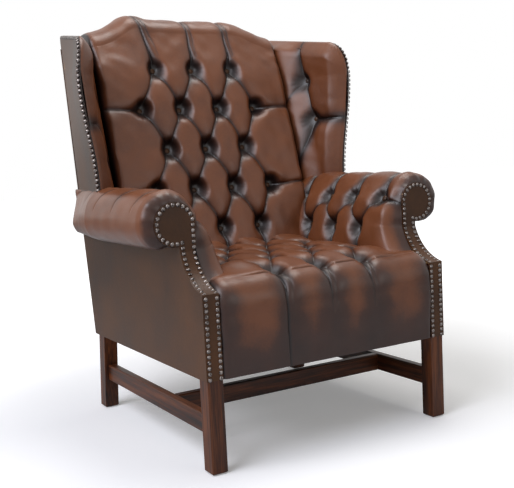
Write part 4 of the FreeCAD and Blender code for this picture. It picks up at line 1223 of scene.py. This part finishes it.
@dataclass
class OutsideWing:
    """The plain panel outside the wing, which runs down over the rear of the roll.

    Attributes:
        chair: Sizes of the chair.
        leather: The plain leather.
        cells: Faces along half a diamond of the tufting.
        mirror: Whether it is the left-hand panel.
        foot: Height of its lower edge.
        front: Depth of its front edge.
        blend: How softly it turns from the wing on to the roll.
        thick: Thickness of the leather.
        heights: Heights at which the roll behind the wing is known.
        front_roll: Reach of the roll at those heights at the wing's front.
        rear_heights: Heights at which the slim roll is known.
        rear_roll: Reach of the slim roll at the rear corner.
    """

    chair: Chair
    leather: bpy.types.Material
    cells: int
    mirror: bool
    foot: float = 503.0
    front: float = 457.5
    blend: float = 14.0
    thick: float = 1.8
    heights: tuple[float, ...] = (500, 508, 521, 535, 553, 568, 586, 600, 609.5, 614, 640)
    front_roll: tuple[float, ...] = (385, 403, 414, 420, 422, 420.5, 414, 403.5, 390, 372, 300)
    rear_heights: tuple[float, ...] = (500, 505, 513, 525, 538, 553, 568, 586, 601, 611, 640)
    rear_roll: tuple[float, ...] = (346, 354, 359, 361, 359, 355, 350, 344, 338, 332, 300)

    def roll(self, y: Array, z: Array) -> Array:
        """Outside of the arm's roll behind the wing's front edge.

        Args:
            y: Depths.
            z: Heights.

        Returns:
            Distances from the middle.
        """
        front = np.interp(z, self.heights, self.front_roll)
        rear = np.interp(z, self.rear_heights, self.rear_roll)
        back = np.clip((y - self.chair.wing_front) / 290, 0, 1)
        return front + (rear - front) * back

    def build(self) -> None:
        """Builds the panel."""
        chair, foot = self.chair, self.foot
        step = 120 / self.cells
        across_it = np.linspace(0, 1, int(360 / step) + 1)
        up_it = np.linspace(0, 1, int(520 / step) + 1)
        gy, gf = np.meshgrid(across_it, up_it, indexing="ij")
        z = foot + gf * (1018 - foot)
        rounds_to_settle = 3
        for _ in range(rounds_to_settle):
            front = self.front + 92 * smooth(622, 530, z)
            rear = chair.back_face(z) - 1.5 - 10 * smooth(1035, 1060, z)
            depth = front + gy * (rear - front)
            z = foot + gf * (chair.wing_top(depth) - 2.5 - foot)
        wing, roll = chair.wing_outside(depth, z) - 1.2, self.roll(depth, z) + 2.4
        x = self.blend * np.logaddexp(wing / self.blend, roll / self.blend)
        x = np.maximum(np.maximum(wing, roll), x - 4.5)
        hem = round_over((depth - front) / 5) * round_over((chair.wing_top(depth) - 1.5 - z) / 6)
        x = x - 2.2 * (1 - hem) - 5.0 * smooth(24, 0, depth - front) * smooth(618, 600, z)
        outer = np.stack([x, depth, z], axis=-1)
        inner = outer - (self.thick, 0, 0)
        points = np.concatenate([outer, inner[:, ::-1]], axis=1)
        side = side_name(self.mirror)
        Pad(f"outside_wing_leather_{side}", f"outside_wing_{side}", points,
            np.full(points.shape[:2], 0.5), fill=None, mirror=self.mirror).build(self.leather)


def build_upholstery(chair: Chair, leather: bpy.types.Material,
                     panel: bpy.types.Material) -> list[ButtonRow]:
    """Builds the tufted pieces and the panels outside the wings.

    Args:
        chair: Sizes of the chair.
        leather: The tufted leather.
        panel: The plain leather.

    Returns:
        The buttons of every tufted piece.
    """
    cells = 28
    rows = [Seat(chair, leather, cells).build(), Back(chair, leather, cells).build()]
    for mirror in (False, True):
        rows.append(Arm(chair, leather, cells, mirror).build())
        rows.append(Wing(chair, leather, cells, mirror).build())
        OutsideWing(chair, panel, cells, mirror).build()
    return rows


class NodeKit:
    """Adds and links the nodes of one tree."""

    def __init__(self, tree: bpy.types.NodeTree) -> None:
        """Keeps the tree that the nodes go into."""
        self.tree = tree

    def add(self, kind: str, inputs: dict | None = None, **settings) -> bpy.types.Node:
        """Adds one node.

        Args:
            kind: Its type.
            inputs: Values or sockets for its inputs, by name or number.
            settings: Values for its own properties.

        Returns:
            The new node.
        """
        node = self.tree.nodes.new(kind)
        for name, value in settings.items():
            setattr(node, name, value)
        for name, value in (inputs or {}).items():
            if isinstance(value, Socket):
                self.tree.links.new(value, node.inputs[name])
            else:
                node.inputs[name].default_value = value
        return node

    def ramp(self, factor: Socket, stops: Sequence[tuple[float, Tone]]) -> Socket:
        """A run of colours over a factor.

        Args:
            factor: Where each place lies on the run.
            stops: Places on the run and the colours there.

        Returns:
            The colour.
        """
        node = self.add("ShaderNodeValToRGB", {0: factor})
        elements = node.color_ramp.elements
        while len(elements) < len(stops):
            elements.new(0.5)
        for element, (place, tone) in zip(elements, stops):
            element.position = place
            element.color = linear(tone)
        return node.outputs[0]

    def calculate(self, operation: str, first: Socket | float, second: Socket | float,
                  third: Socket | float | None = None, clamp: bool = False) -> Socket:
        """One sum between sockets or numbers.

        Args:
            operation: Blender's name for the sum.
            first: First value.
            second: Second value.
            third: Third value, where the sum takes one.
            clamp: Whether the result is kept between 0 and 1.

        Returns:
            The result.
        """
        inputs = {0: first, 1: second} | ({} if third is None else {2: third})
        return self.add("ShaderNodeMath", inputs, operation=operation, use_clamp=clamp).outputs[0]

    def noise(self, place: Socket, size: float, detail: float, **more: float) -> Socket:
        """A cloudy pattern.

        Args:
            place: Where on the object each point is.
            size: Usual width of one cloud, in millimetres.
            detail: How many finer layers it holds.
            more: Other inputs of the pattern.

        Returns:
            Its height, from 0 to 1.
        """
        inputs = {"Vector": place, "Scale": 1 / (size * MILLIMETRE), "Detail": detail}
        return self.add("ShaderNodeTexNoise", inputs | more).outputs[0]


@dataclass(frozen=True)
class Finish:
    """A finish of the chair, with the shader that its kinds share.

    Attributes:
        name: Name of its material.
    """

    name: str

    def start(self) -> tuple[bpy.types.Material, NodeKit, dict[str, Socket], Socket]:
        """An empty material.

        Returns:
            The material, its nodes, the inputs of its shader, and the place on the object.
        """
        material = bpy.data.materials.new(self.name)
        material.use_nodes = True
        kit = NodeKit(material.node_tree)
        material.node_tree.nodes.clear()
        shader = kit.add("ShaderNodeBsdfPrincipled")
        kit.add("ShaderNodeOutputMaterial", {"Surface": shader.outputs[0]})
        return material, kit, shader.inputs, kit.add("ShaderNodeTexCoord").outputs["Object"]

    def grain(self, kit: NodeKit, place: Socket) -> Socket:
        """Normals of leather: small pebbles with pores, over soft unevenness.

        Args:
            kit: The material's nodes.
            place: Where on the object each point is.

        Returns:
            The normals.
        """
        # Real pebbles are under a millimetre wide; these are drawn twice as coarse to show.
        scale = 1 / (1.613 * MILLIMETRE)
        pebbles = kit.add("ShaderNodeTexVoronoi", {"Vector": place, "Scale": scale}, feature="SMOOTH_F1")
        pores = kit.noise(place, 0.667, 2.0)
        soft = kit.noise(place, 16.67, 3.0)
        mixed = kit.calculate("MULTIPLY_ADD", pores, 0.35, pebbles.outputs[0])
        mixed = kit.calculate("MULTIPLY_ADD", soft, 1.2, mixed)
        bump = {"Height": mixed, "Distance": 0.18 * MILLIMETRE, "Strength": 0.55}
        return kit.add("ShaderNodeBump", bump).outputs[0]


@dataclass(frozen=True)
class TuftedLeather(Finish):
    """Antique rub-off cowhide, dyed, waxed and rubbed by hand.

    Attributes:
        cloud: Width of the uneven dye's clouds, in millimetres.
        fleck: Width of the small flecks, in millimetres.
        rough: Least roughness, that of waxed hide.
        specular: Strength of its reflections.
    """

    cloud: float = 111.1
    fleck: float = 6.25
    rough: float = 0.27
    specular: float = 0.45

    def build(self) -> bpy.types.Material:
        """Near black with painted shade in the folds' lines and the buttons' pits, rubbed to red-brown on
        the crowns of the puffs.

        Returns:
            The material.
        """
        # Waxed hide: soft highlights along the folds, broken up by the grain.
        material, kit, shader, place = self.start()
        crown = kit.add("ShaderNodeAttribute", attribute_name="crown").outputs["Fac"]
        cloud = kit.noise(place, self.cloud, 4.0, Roughness=0.6)
        fleck = kit.noise(place, self.fleck, 4.0)
        wear_and_shade_value = kit.calculate("MULTIPLY_ADD", cloud, 0.45, kit.calculate("SUBTRACT", crown, 0.24))
        wear_and_shade_value = kit.calculate("MULTIPLY_ADD", fleck, 0.14, kit.calculate("SUBTRACT", wear_and_shade_value, 0.07))
        # The lowest stop is painted shade, reached in the folds' lines and the buttons' pits.
        colour = kit.ramp(wear_and_shade_value, [
            (0.0, Tone.LEATHER_CREASE_SHADE), (0.3, Tone.LEATHER_FLANK),
            (0.68, Tone.LEATHER_BODY), (1.0, Tone.LEATHER_CROWN),
        ])
        rough = kit.calculate("MULTIPLY_ADD", cloud, 0.16, self.rough)
        rough = kit.calculate("MULTIPLY_ADD", fleck, 0.06, rough)
        kit.tree.links.new(colour, shader["Base Color"])
        kit.tree.links.new(rough, shader["Roughness"])
        kit.tree.links.new(self.grain(kit, place), shader["Normal"])
        shader["Specular IOR Level"].default_value = self.specular
        return material


@dataclass(frozen=True)
class PanelLeather(Finish):
    """The same hide stretched flat over the outer panels, duller and more even.

    Attributes:
        cloud: Width of the dye's clouds, in millimetres.
        fleck: Width of the small flecks, in millimetres.
        rough: Least roughness.
        specular: Strength of its reflections.
    """

    cloud: float = 200.0
    fleck: float = 6.667
    rough: float = 0.38
    specular: float = 0.26

    def build(self) -> bpy.types.Material:
        """Dark olive brown, slightly clouded.

        Returns:
            The material.
        """
        # Stretched hide: a broad dull sheen, with no folds to catch the light.
        material, kit, shader, place = self.start()
        cloud = kit.noise(place, self.cloud, 4.0, Roughness=0.55)
        fleck = kit.noise(place, self.fleck, 4.0)
        mixed = kit.calculate("MULTIPLY_ADD", fleck, 0.2, kit.calculate("SUBTRACT", cloud, 0.1))
        colour = kit.ramp(mixed, [(0.3, Tone.PANEL_DARK), (0.72, Tone.PANEL_LIGHT)])
        rough = kit.calculate("MULTIPLY_ADD", cloud, 0.14, self.rough)
        kit.tree.links.new(colour, shader["Base Color"])
        kit.tree.links.new(rough, shader["Roughness"])
        kit.tree.links.new(self.grain(kit, place), shader["Normal"])
        shader["Specular IOR Level"].default_value = self.specular
        return material


@dataclass(frozen=True)
class StainedTimber(Finish):
    """Hardwood planed smooth, stained dark and polished, with its pores open.

    Attributes:
        turn: Turn that lays the grain, drawn along Z, along the piece.
        band: Width of the year rings' bands, in millimetres.
        pore: Width of the pores, drawn coarser than the real ones so that they show.
        stretch: How much shorter the pattern is drawn along the grain.
        edge: Radius of the eased edges, in millimetres.
        rough: Least roughness of the polish.
        specular: Strength of its reflections.
    """

    turn: Place = (0.0, 0.0, 0.0)
    band: float = 18.18
    pore: float = 2.381
    stretch: float = 0.045
    edge: float = 1.6
    rough: float = 0.34
    specular: float = 0.28

    def build(self) -> bpy.types.Material:
        """Long dark and light bands with fine pores between.

        Returns:
            The material.
        """
        # Polished timber: deep colour, with a highlight only along the eased edges.
        material, kit, shader, place = self.start()
        laid = kit.add("ShaderNodeMapping", {"Vector": place, "Rotation": self.turn}).outputs[0]
        long = kit.add("ShaderNodeMapping", {"Vector": laid, "Scale": (1.0, 1.0, self.stretch)}).outputs[0]
        bands = kit.noise(long, self.band, 5.0, Roughness=0.65, Distortion=0.35)
        pores = kit.noise(long, self.pore, 3.0)
        mixed = kit.calculate("MULTIPLY_ADD", pores, 0.45, kit.calculate("SUBTRACT", bands, 0.22))
        colour = kit.ramp(mixed, [
            (0.34, Tone.TIMBER_DARK), (0.5, Tone.TIMBER_BODY), (0.72, Tone.TIMBER_LIGHT),
        ])
        rough = kit.calculate("MULTIPLY_ADD", pores, 0.2, self.rough)
        edge = kit.add("ShaderNodeBevel", {"Radius": self.edge * MILLIMETRE}, samples=4).outputs[0]
        bump = kit.add("ShaderNodeBump", {"Height": mixed, "Distance": 0.4 * MILLIMETRE,
                                          "Strength": 0.5, "Normal": edge})
        kit.tree.links.new(colour, shader["Base Color"])
        kit.tree.links.new(rough, shader["Roughness"])
        kit.tree.links.new(bump.outputs[0], shader["Normal"])
        shader["Specular IOR Level"].default_value = self.specular
        return material


@dataclass(frozen=True)
class AntiquePewter(Finish):
    """Nail heads plated in old pewter: dark in the hollows, bright where rubbed.

    Attributes:
        tarnish: Width of the tarnish spots, in millimetres.
        rough: Least roughness of the rubbed metal.
    """

    tarnish: float = 3.846
    rough: float = 0.2

    def build(self) -> bpy.types.Material:
        """Spotted metal.

        Returns:
            The material.
        """
        # Old plating: a bright point on each head among dark tarnish.
        material, kit, shader, place = self.start()
        spots = kit.noise(place, self.tarnish, 3.0)
        colour = kit.ramp(spots, [(0.35, Tone.PEWTER_DARK), (0.6, Tone.PEWTER)])
        kit.tree.links.new(colour, shader["Base Color"])
        kit.tree.links.new(kit.calculate("MULTIPLY_ADD", spots, 0.25, self.rough), shader["Roughness"])
        shader["Metallic"].default_value = 1.0
        return material


@dataclass(frozen=True)
class HiddenFinish(Finish):
    """A plain finish of the frame inside: sawn beech, spring steel, jute or lining.

    Attributes:
        low: Its darker colour.
        high: Its lighter colour.
        texture: Width of its grain or thread, in millimetres.
        rough: Its roughness.
        metal: Whether it is bare metal.
    """

    low: Tone
    high: Tone
    texture: float
    rough: float
    metal: bool = False

    def build(self) -> bpy.types.Material:
        """Two close colours with a fine texture to match.

        Returns:
            The material.
        """
        # Sawn, woven and bare surfaces: matt, with their own small unevenness.
        material, kit, shader, place = self.start()
        weave = kit.noise(place, self.texture, 4.0)
        colour = kit.ramp(weave, [(0.35, self.low), (0.65, self.high)])
        bump = {"Height": weave, "Distance": 0.3 * MILLIMETRE, "Strength": 0.4}
        kit.tree.links.new(colour, shader["Base Color"])
        kit.tree.links.new(kit.add("ShaderNodeBump", bump).outputs[0], shader["Normal"])
        shader["Roughness"].default_value = self.rough
        shader["Metallic"].default_value = float(self.metal)
        return material


@dataclass(frozen=True)
class Dome:
    """A low dome that stands on its origin and faces +Z, for a button or a nail head.

    Attributes:
        name: Name of the shape.
        radius: Radius of its rim, in metres.
        height: Height of its crown, in metres.
        sides: Number of sides round it.
        rings: Number of rings from the rim to the crown.
    """

    name: str
    radius: float
    height: float
    sides: int
    rings: int

    def build(self, material: bpy.types.Material) -> bpy.types.Object:
        """Makes the dome.

        Args:
            material: Its material.

        Returns:
            The dome, linked to no collection.
        """
        sides = self.sides
        turn = np.linspace(0, math.tau, sides, endpoint=False)
        verts = []
        for lift in np.linspace(0, math.pi / 2, self.rings + 1)[:-1]:
            r, z = self.radius * math.cos(lift), self.height * math.sin(lift)
            verts += [(r * math.cos(t), r * math.sin(t), z) for t in turn]
        verts.append((0, 0, self.height))
        faces = [list(range(sides))[::-1]]
        for low in range(0, (self.rings - 1) * sides, sides):
            high = low + sides
            faces += [[low + i, low + (i + 1) % sides, high + (i + 1) % sides, high + i]
                      for i in range(sides)]
        last = (self.rings - 1) * sides
        faces += [[last + i, last + (i + 1) % sides, len(verts) - 1] for i in range(sides)]
        mesh = bpy.data.meshes.new(self.name)
        mesh.from_pydata(verts, [], faces)
        mesh.shade_smooth()
        mesh.materials.append(material)
        return bpy.data.objects.new(self.name, mesh)


def repeat_group() -> bpy.types.GeometryNodeTree:
    """A node group that sets one shape on every point, facing the point's own way.

    Returns:
        The group, with the shape, its scale, its sink and its material as inputs.
    """
    group = bpy.data.node_groups.new("set_on_points", "GeometryNodeTree")
    kinds = {"Geometry": "Geometry", "Shape": "Object", "Scale": "Float", "Sink": "Float",
             "Material": "Material"}
    for name, kind in kinds.items():
        group.interface.new_socket(name, in_out="INPUT", socket_type=f"NodeSocket{kind}")
    group.interface.new_socket("Geometry", in_out="OUTPUT", socket_type="NodeSocketGeometry")
    kit = NodeKit(group)
    given = kit.add("NodeGroupInput").outputs
    way = kit.add("GeometryNodeInputNamedAttribute", {"Name": "way"}, data_type="FLOAT_VECTOR")
    turn = kit.add("FunctionNodeAlignRotationToVector", {"Vector": way.outputs[0]}, axis="Z")
    shape = kit.add("GeometryNodeObjectInfo", {"Object": given["Shape"]})
    set_on = kit.add("GeometryNodeInstanceOnPoints", {
        "Points": given["Geometry"], "Instance": shape.outputs["Geometry"],
        "Rotation": turn.outputs[0], "Scale": given["Scale"],
    })
    down = kit.add("ShaderNodeCombineXYZ", {2: kit.calculate("MULTIPLY", given["Sink"], -1.0)})
    lowered = kit.add("GeometryNodeTranslateInstances", {
        "Instances": set_on.outputs[0], "Translation": down.outputs[0],
    })
    real = kit.add("GeometryNodeRealizeInstances", {0: lowered.outputs[0]})
    painted = kit.add("GeometryNodeSetMaterial", {
        "Geometry": real.outputs[0], "Material": given["Material"],
    })
    kit.add("NodeGroupOutput", {"Geometry": painted.outputs[0]})
    return group


@dataclass
class Repeat:
    """One shape set along chosen points by the node group.

    Attributes:
        name: Name of the finished piece.
        places: Where the shapes stand, in metres.
        ways: The way that each faces.
    """

    name: str
    places: list[Vector]
    ways: list[Vector]

    def build(self, group: bpy.types.GeometryNodeTree, shape: bpy.types.Object,
              material: bpy.types.Material, sink: float) -> bpy.types.Object:
        """Runs the group once and keeps its result as a plain mesh.

        Args:
            group: The node group.
            shape: The repeated shape.
            material: Its material.
            sink: Depth that each is sunk, in metres.

        Returns:
            The finished piece.
        """
        mesh = bpy.data.meshes.new(self.name)
        mesh.from_pydata([tuple(p) for p in self.places], [], [])
        way = mesh.attributes.new("way", "FLOAT_VECTOR", "POINT")
        way.data.foreach_set("vector", np.array([tuple(w) for w in self.ways]).ravel())
        piece = bpy.data.objects.new(self.name, mesh)
        bpy.context.collection.objects.link(piece)
        modifier = piece.modifiers.new(group.name, "NODES")
        modifier.node_group = group
        values = {"Shape": shape, "Scale": 1.0, "Sink": sink, "Material": material}
        for item in group.interface.items_tree:
            if item.in_out == "INPUT" and item.name in values:
                modifier[item.identifier] = values[item.name]
        seen = piece.evaluated_get(bpy.context.evaluated_depsgraph_get())
        real = bpy.data.meshes.new_from_object(seen)
        piece.modifiers.clear()
        piece.data = real
        real.shade_smooth()
        LOG.info("%s: %d set, %d faces", self.name, len(self.places), len(real.polygons))
        return piece


@dataclass
class NailRows:
    """Where the decorative nails stand on the right-hand half, in millimetres.

    Attributes:
        chair: Sizes of the chair.
        spacing: Distance between two nails.
        inner: Reach of the inner column on the leg and arm front.
        outer: Reach of the outer column.
        ring: Reach, height and radius of the ring round the scroll.
        front: Depth of the nails on the leg.
        wing_way: The way that the nails of the wing's front edge face.
        places: Where the nails stand.
        ways: The way that each faces.
    """

    chair: Chair
    spacing: float = 12.6
    inner: float = 304.8
    outer: float = 332.2
    ring: Place = (348.0, 550.0, 44.0)
    front: float = -3.0
    wing_way: Place = (0.75, -0.66, 0.0)
    places: list[Array] = field(default_factory=list)
    ways: list[Array] = field(default_factory=list)

    def along(self, path: Sequence[Place]) -> list[Array]:
        """Places at even distances along a path of straight runs.

        Args:
            path: Corners of the path.

        Returns:
            One place for each nail.
        """
        knots = np.array(path, dtype=float)
        runs = np.linalg.norm(np.diff(knots, axis=0), axis=1)
        lengths = np.concatenate([[0], np.cumsum(runs)])
        count = max(round(lengths[-1] / self.spacing), 1)
        return [np.array([np.interp(s, lengths, knots[:, i]) for i in range(3)])
                for s in np.linspace(0, lengths[-1], count + 1)]

    def facing(self) -> None:
        """The keyhole of nails up one scroll front and round its disc."""
        foot, bend, neck = 216.0, 400.0, 488.0
        middle_x, middle_z, radius = self.ring
        sweep = [(2 * t * (1 - t) * 71 + t * t * 96 - 3,
                  (1 - t) ** 2 * bend + 2 * t * (1 - t) * 419 + t * t * neck)
                 for t in np.linspace(0, 1, 13)[1:]]
        columns = [[(x, self.front, foot), (x, self.front, bend)] + [(x, y, z) for y, z in sweep]
                   for x in (self.inner, self.outer)]
        ring = [(middle_x + radius * math.cos(t), 93.3, middle_z + radius * math.sin(t))
                for t in np.radians(np.linspace(168, -110, 60))]
        for at in self.along(columns[0] + ring + columns[1][::-1]):
            rise = np.clip((at[2] - bend) / (neck - bend), 0, 1)
            tilt = 0.0
            if 0 < rise < 1:
                tilt = math.radians(75 * math.sin(math.pi * min(rise * 1.05, 1.0)) ** 1.1)
            self.places.append(at)
            self.ways.append(np.array([0, -math.cos(tilt), math.sin(tilt)]))

    def wing(self) -> None:
        """The row up the wing's front edge and back along its top."""
        chair = self.chair
        path = [(float(chair.wing_reach(np.array(z))) - 4.0, chair.wing_front + 1.5, z)
                for z in np.arange(622.0, 926.0, 12.0)]
        for y in (459.0, 463.0, 470.0, 480.0, 495.0, 515.0, 550.0, 600.0, 650.0, 700.0, 750.0, 790.0):
            z = float(chair.wing_top(np.array(y))) - 5.5 * smooth(459, 500, y)
            path.append((float(chair.wing_outside(np.array(y), np.array(z))) - 3.5, y, z))
        for at in self.along(path):
            high = smooth(925, 1010, at[2])
            way = np.array(self.wing_way)
            self.places.append(at + way * 0.9)
            self.ways.append(way * (1 - high) + np.array([0.85, 0.0, 0.5]) * high)

    def both(self) -> tuple[list[Vector], list[Vector]]:
        """Places and directions on both halves, in metres.

        Returns:
            The nails' places, and the way that each faces.
        """
        places, ways = [], []
        for mirror in (False, True):
            flip = (-1.0 if mirror else 1.0, 1.0, 1.0)
            places += [Vector(to_frame(at, mirror)) for at in self.places]
            ways += [Vector(way * flip) for way in self.ways]
        return places, ways


@dataclass(frozen=True)
class Fasteners:
    """The covered buttons and the decorative nails.

    Attributes:
        leather: The plain leather, which covers the buttons.
        pewter: The nails' metal.
        button_sink: Depth that a button is sunk, in metres.
        nail_sink: Depth that a nail is sunk, in metres.
    """

    leather: bpy.types.Material
    pewter: bpy.types.Material
    button_sink: float = 0.0008
    nail_sink: float = 0.0004

    def build(self, rows: Sequence[ButtonRow], chair: Chair) -> None:
        """Sets every button and nail.

        Args:
            rows: The buttons of every tufted piece.
            chair: Sizes of the chair.
        """
        group = repeat_group()
        button = Dome("covered_button", 0.0085, 0.0042, 16, 4).build(self.leather)
        for row in rows:
            piece = Repeat(row.node.replace("buttons", "covered_buttons"), row.places, row.ways)
            built = piece.build(group, button, self.leather, self.button_sink)
            declare(built, (row.node,))
        nail = Dome("nail_head", 0.0052, 0.0034, 12, 3).build(self.pewter)
        nails = NailRows(chair)
        nails.facing()
        nails.wing()
        piece = Repeat("decorative_nails", *nails.both())
        declare(piece.build(group, nail, self.pewter, self.nail_sink), ())


class Dressing:
    """The finishes, and which solids of the frame take each."""

    LENGTHWISE: Place = (math.pi / 2, 0.0, 0.0)
    CROSSWISE: Place = (0.0, math.pi / 2, 0.0)
    CHOSEN = {
        "": "beech", "front_leg": "upright", "back_post": "upright",
        "side_stretcher": "lengthwise", "cross_stretcher": "crosswise",
        "leg_glides": "glide", "seat_springs": "steel", "spring_clips": "steel",
        "back_webbing": "jute", "seat_hessian": "jute", "dust_cover": "lining",
        "arm_facing": "panel", "outside": "panel",
    }

    def __init__(self) -> None:
        """Makes every finish."""
        finishes = {
            "leather": TuftedLeather("antique_leather"),
            "panel": PanelLeather("panel_leather"),
            "upright": StainedTimber("stained_timber_upright"),
            "lengthwise": StainedTimber("stained_timber_lengthwise", self.LENGTHWISE),
            "crosswise": StainedTimber("stained_timber_crosswise", self.CROSSWISE),
            "pewter": AntiquePewter("antique_pewter"),
            "beech": HiddenFinish("raw_beech", Tone.BEECH_DARK, Tone.BEECH, 25, 0.6),
            "steel": HiddenFinish("spring_steel", Tone.STEEL_DARK, Tone.STEEL, 5, 0.35, True),
            "jute": HiddenFinish("jute_webbing", Tone.JUTE_DARK, Tone.JUTE, 2, 0.9),
            "lining": HiddenFinish("black_lining", Tone.LINING, Tone.LINING_LIGHT, 1.429, 0.9),
            "glide": HiddenFinish("glide_plastic", Tone.GLIDE, Tone.GLIDE, 10, 0.45),
        }
        self.materials = {name: finish.build() for name, finish in finishes.items()}

    def paint(self) -> None:
        """Gives every shown solid of the frame its material."""
        for name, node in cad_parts.items():
            if node.hide_render:
                continue
            key = max((start for start in self.CHOSEN if name.startswith(start)), key=len)
            finish = self.materials[self.CHOSEN[key]]
            if not node.material_slots:
                node.data.materials.append(finish)
            for place in node.material_slots:
                place.material = finish
            LOG.info("%s: %s", name, finish.name)


@dataclass(frozen=True)
class Lamp:
    """One large soft lamp that looks at the middle of the chair.

    Attributes:
        name: Its name.
        place: Where it stands, in metres.
        size: Width of its disc, in metres.
        power: Its power, in watts.
        colour: Its colour.
    """

    MIDDLE: ClassVar[Vector] = Vector((0, 0, 0.55))

    name: str
    place: Place
    size: float
    power: float
    colour: Tone

    def build(self) -> None:
        """Adds the lamp."""
        lamp = bpy.data.lights.new(self.name, "AREA")
        lamp.shape = "DISK"
        lamp.size = self.size
        lamp.energy = self.power
        lamp.color = linear(self.colour)[:3]
        holder = bpy.data.objects.new(self.name, lamp)
        holder.location = self.place
        way = self.MIDDLE - Vector(self.place)
        holder.rotation_euler = way.to_track_quat("-Z", "Y").to_euler()
        bpy.context.collection.objects.link(holder)


@dataclass(frozen=True)
class Studio:
    """Plain pale floor, white surroundings, soft lamps and the photograph's camera.

    Attributes:
        floor_half: Half the floor's side, in metres.
        near: Distance at which the floor starts to fade to white, in metres.
        far: Distance at which it is white.
        world_strength: Strength of the surroundings' light on the chair.
        lamps: The lamps.
        turn: The camera's turn to the right, in degrees.
        dip: Its downward tilt.
        roll: Its slight roll.
        lens: Its focal length, in millimetres on a 36 mm frame.
        stand: Where it stands, in metres.
    """

    floor_half: float = 14.0
    near: float = 0.7
    far: float = 2.2
    world_strength: float = 0.16
    lamps: tuple[Lamp, ...] = (
        Lamp("key", (-2.5, -0.7, 2.7), 2.6, 105, Tone.LAMP_COOL),
        Lamp("top", (0.5, 0.2, 3.2), 1.6, 40, Tone.LAMP_NEUTRAL),
        Lamp("fill", (1.2, -3.2, 1.3), 1.6, 9, Tone.LAMP_NEUTRAL),
    )
    turn: float = 30.47
    dip: float = 6.25
    roll: float = -2.89
    lens: float = 59.96
    stand: Place = (-1.1467, -2.0166, 0.7039)

    def build(self) -> None:
        """Builds the studio and sets the camera."""
        self.floor()
        self.surroundings()
        for lamp in self.lamps:
            lamp.build()
        bpy.context.scene.view_settings.view_transform = "Standard"
        self.camera()

    def floor(self) -> None:
        """A pale floor that fades to white, and keeps the chair's shadow near it."""
        half = self.floor_half
        mesh = bpy.data.meshes.new("studio_floor")
        corners = [(-half, -half, 0), (half, -half, 0), (half, half, 0), (-half, half, 0)]
        mesh.from_pydata(corners, [], [(0, 1, 2, 3)])
        floor = bpy.data.objects.new("studio_floor", mesh)
        bpy.context.collection.objects.link(floor)
        material, kit, shader, place = Finish("pale_floor").start()
        shader["Base Color"].default_value = linear(Tone.FLOOR)
        shader["Roughness"].default_value = 0.9
        shader["Emission Color"].default_value = (1, 1, 1, 1)
        seen = kit.add("ShaderNodeLightPath").outputs["Is Camera Ray"]
        away = kit.add("ShaderNodeVectorMath", {0: place}, operation="LENGTH").outputs["Value"]
        glow = kit.add("ShaderNodeMapRange", {"Value": away, "From Min": self.near,
                                              "From Max": self.far, "To Min": 0.22, "To Max": 1.0})
        kit.tree.links.new(kit.calculate("MULTIPLY", seen, glow.outputs[0]), shader["Emission Strength"])
        mesh.materials.append(material)

    def surroundings(self) -> None:
        """White to the camera and in reflections, and a soft pale light otherwise."""
        world = bpy.data.worlds.new("studio")
        bpy.context.scene.world = world
        world.use_nodes = True
        kit = NodeKit(world.node_tree)
        world.node_tree.nodes.clear()
        way = kit.add("ShaderNodeTexCoord").outputs["Generated"]
        height = kit.add("ShaderNodeSeparateXYZ", {0: way}).outputs[2]
        tint = kit.ramp(height, [(0.0, Tone.WORLD_LOW), (1.0, Tone.WORLD_HIGH)])
        dim = kit.add("ShaderNodeBackground", {"Color": tint, "Strength": self.world_strength})
        white = kit.add("ShaderNodeBackground", {"Color": (1, 1, 1, 1), "Strength": 1.0})
        rays = kit.add("ShaderNodeLightPath").outputs
        clear = kit.calculate("ADD", rays["Is Camera Ray"], rays["Is Transmission Ray"], clamp=True)
        seen = kit.calculate("ADD", clear, rays["Is Glossy Ray"], clamp=True)
        mix = kit.add("ShaderNodeMixShader", {0: seen, 1: dim.outputs[0], 2: white.outputs[0]})
        kit.add("ShaderNodeOutputWorld", {"Surface": mix.outputs[0]})

    def camera(self) -> None:
        """The camera at the photograph's angle, with its height, lens and slight roll."""
        turn, dip, roll = (math.radians(angle) for angle in (self.turn, self.dip, self.roll))
        ahead = Vector((math.sin(turn) * math.cos(dip), math.cos(turn) * math.cos(dip), -math.sin(dip)))
        level = Vector((math.cos(turn), -math.sin(turn), 0))
        rise = level.cross(ahead)
        right = level * math.cos(roll) + rise * math.sin(roll)
        up = rise * math.cos(roll) - level * math.sin(roll)
        data = bpy.data.cameras.new("photo_camera")
        data.lens = self.lens
        data.sensor_width = 36.0
        camera = bpy.data.objects.new("photo_camera", data)
        turned = Matrix((right, up, -ahead)).transposed().to_4x4()
        camera.matrix_world = Matrix.Translation(self.stand) @ turned
        bpy.context.collection.objects.link(camera)
        bpy.context.scene.camera = camera


def main() -> None:
    """Builds the dressed chair, its studio and its camera."""
    logging.basicConfig(level=logging.INFO, format="%(name)s: %(message)s")
    dressing = Dressing()
    leather, panel = dressing.materials["leather"], dressing.materials["panel"]
    chair = Chair()
    rows = build_upholstery(chair, leather, panel)
    Fasteners(panel, dressing.materials["pewter"]).build(rows, chair)
    dressing.paint()
    Studio().build()


if __name__ == "__main__":
    main()
